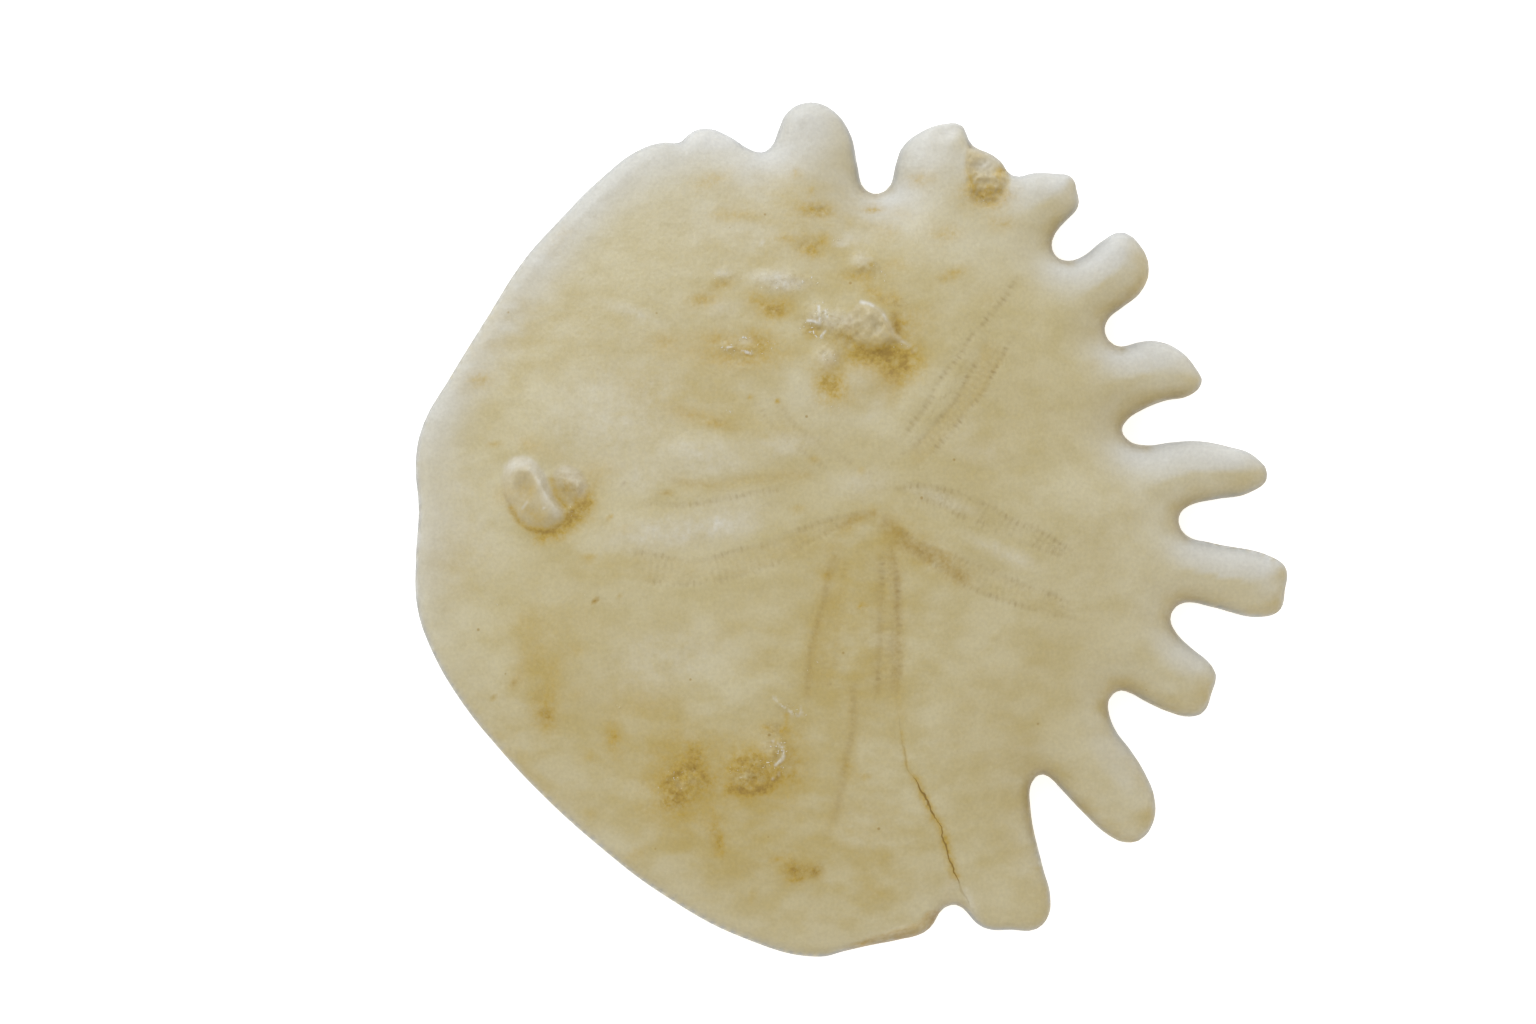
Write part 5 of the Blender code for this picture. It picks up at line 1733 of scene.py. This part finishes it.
        furrows = s.add("Math", {0: furrows}, operation="COSINE")
        furrows = s.add("Math", {0: furrows, 1: 0.5, 2: 0.5}, operation="MULTIPLY_ADD")
        ribs = s.add("Math", {0: read[Layer.RIB_SHOW], 1: 0.5}, operation="MULTIPLY")
        ribs = s.add("Math", {0: ribs, 1: furrows}, operation="MULTIPLY")
        ribs = s.add("Math", {0: ribs, 1: filled}, operation="MULTIPLY")
        return s.add("Math", {0: pores, 1: ribs}, operation="MAXIMUM")

    def crack(self, s: Surface, read: Layers, noise: Noises) -> Socket:
        """The dark line of the crack, thicker and thinner by turns."""
        width = s.add(
            "MapRange",
            {
                "Value": noise[Noise.CRACK_WIDTH],
                "From Min": 0.38,
                "From Max": 0.66,
                "To Min": 0.03,
                "To Max": 0.09,
            },
        )
        away = s.add("Math", {0: read[Layer.CRACK_AWAY]}, operation="ABSOLUTE")
        share = s.add("Math", {0: away, 1: width}, operation="DIVIDE")
        line = s.add(
            "MapRange", {"Value": share, "From Min": 1.4, "From Max": 0.4}, interpolation_type="SMOOTHSTEP"
        )
        return s.add("Math", {0: line, 1: read[Layer.CRACK_SHOW]}, operation="MULTIPLY")

    def specks(self, s: Surface, place: Socket) -> Socket:
        """A few tiny dark pits, about one in 20 square millimetres."""
        cells = {"Vector": place, "Scale": per_mm(2.6), "Randomness": 1.0}
        few = s.add("SeparateColor", {0: s.add("TexVoronoi", cells, "Color")})
        few = s.add("MapRange", {"Value": few, "From Min": 0.62, "From Max": 0.66})
        dot = s.add("TexVoronoi", cells, "Distance")
        dot = s.add("MapRange", {"Value": dot, "From Min": 0.05, "From Max": 0.03})
        return s.add("Math", {0: dot, 1: few}, operation="MULTIPLY")


@dataclass(frozen=True)
class SugaryCalcite:
    """Small clear-white calcite crystals with bright faces."""

    white: str = "e6e2d4"
    cream: str = "d8cda2"

    def material(self) -> bpy.types.Material:
        """Build the finish."""
        s = Surface("sugary calcite")
        place = s.add("TexCoord", output="Object")
        cloud = s.add("TexNoise", {"Vector": place, "Scale": per_mm(1.2), "Detail": 1.0})
        cloud = s.add("MapRange", {"Value": cloud, "From Min": 0.42, "From Max": 0.6})
        colour = s.add("Mix", {0: cloud, 6: linear(self.white), 7: linear(self.cream)}, 2, data_type="RGBA")
        gloss = s.add("Math", {0: cloud, 1: 0.25, 2: 0.15}, operation="MULTIPLY_ADD")
        s.connect(
            s.shader,
            {
                "Base Color": colour,
                "Roughness": gloss,
                "IOR": 1.6,
                "Subsurface Weight": 0.3,
                "Subsurface Radius": (1.0, 0.9, 0.8),
                "Subsurface Scale": 0.0003,
            },
        )
        return s.material


@dataclass(frozen=True)
class Studio:
    """A glowing white table under a big soft light, seen from straight above."""

    floor_size: float = 4.0
    floor_white: str = "f7f7f6"
    floor_glow: float = 0.65
    sky_strength: float = 0.78
    sky_colour: str = "fffbf4"
    key_power: float = 1.2
    key_size: float = 0.3
    key_place: tuple[float, float, float] = (-0.26, 0.39, 0.37)
    edge_power: float = 0.44
    edge_size: float = 0.2
    edge_place: tuple[float, float, float] = (-0.22, 0.52, 0.06)
    light_colour: str = "dde9ff"

    def build(self) -> None:
        """Set up the floor, the light and the camera."""
        bpy.context.scene.view_settings.view_transform = "Standard"
        self.floor()
        self.light()
        self.camera()

    def floor(self) -> None:
        """A plain white floor under the part, lit a little from below so that shadows stay faint."""
        sheet = bmesh.new()
        bmesh.ops.create_grid(sheet, x_segments=1, y_segments=1, size=self.floor_size / 2)
        mesh = bpy.data.meshes.new("floor")
        sheet.to_mesh(mesh)
        sheet.free()
        s = Surface("white light table")
        white = linear(self.floor_white)
        s.connect(
            s.shader,
            {
                "Base Color": white,
                "Roughness": 0.9,
                "Emission Color": white,
                "Emission Strength": self.floor_glow,
            },
        )
        mesh.materials.append(s.material)
        floor = bpy.data.objects.new("floor", mesh)
        bpy.context.scene.collection.objects.link(floor)

    def light(self) -> None:
        """An even white surround, and a soft cool light from the left side of the part."""
        world = bpy.data.worlds.new("studio")
        world.use_nodes = True
        background = world.node_tree.nodes["Background"]
        background.inputs["Color"].default_value = linear(self.sky_colour)
        background.inputs["Strength"].default_value = self.sky_strength
        bpy.context.scene.world = world
        self.softbox("key", self.key_power, self.key_size, Vector(self.key_place))
        self.softbox("edge", self.edge_power, self.edge_size, Vector(self.edge_place))

    def softbox(self, name: str, power: float, size: float, place: Vector) -> None:
        """Hang a square soft light that faces the part.

        Args:
            name: Its name.
            power: Its power in watts.
            size: The length of its side in metres.
            place: Where it hangs.
        """
        lamp = bpy.data.lights.new(name, "AREA")
        lamp.shape = "SQUARE"
        lamp.size = size
        lamp.energy = power
        lamp.color = linear(self.light_colour)[:3]
        softbox = bpy.data.objects.new(name, lamp)
        softbox.matrix_world = Matrix.Translation(place) @ place.to_track_quat("Z", "Y").to_matrix().to_4x4()
        bpy.context.scene.collection.objects.link(softbox)

    def camera(self) -> None:
        """A camera straight above, with the photo's frame."""
        lens = bpy.data.cameras.new("camera")
        lens.sensor_width = SENSOR_WIDTH
        lens.lens = SENSOR_WIDTH * CAMERA_DISTANCE / FRAME_WIDTH
        lens.clip_start = 0.01
        lens.clip_end = 10.0
        camera = bpy.data.objects.new("camera", lens)
        height = WIDEST_LEVEL + CAMERA_DISTANCE
        camera.location = Vector((*FRAME_CENTRE, height)) * MM
        bpy.context.scene.collection.objects.link(camera)
        bpy.context.scene.camera = camera


def main() -> None:
    """Build every piece of the sand dollar and its studio."""
    logging.basicConfig(level=logging.INFO, format="%(name)s: %(message)s")
    test = Test()
    new_piece("test", test.build(), FossilCalcite().material())
    new_piece(CRYSTALS.name, CRYSTALS.build(test), SugaryCalcite().material())
    Studio().build()


if __name__ == "__main__":
    main()
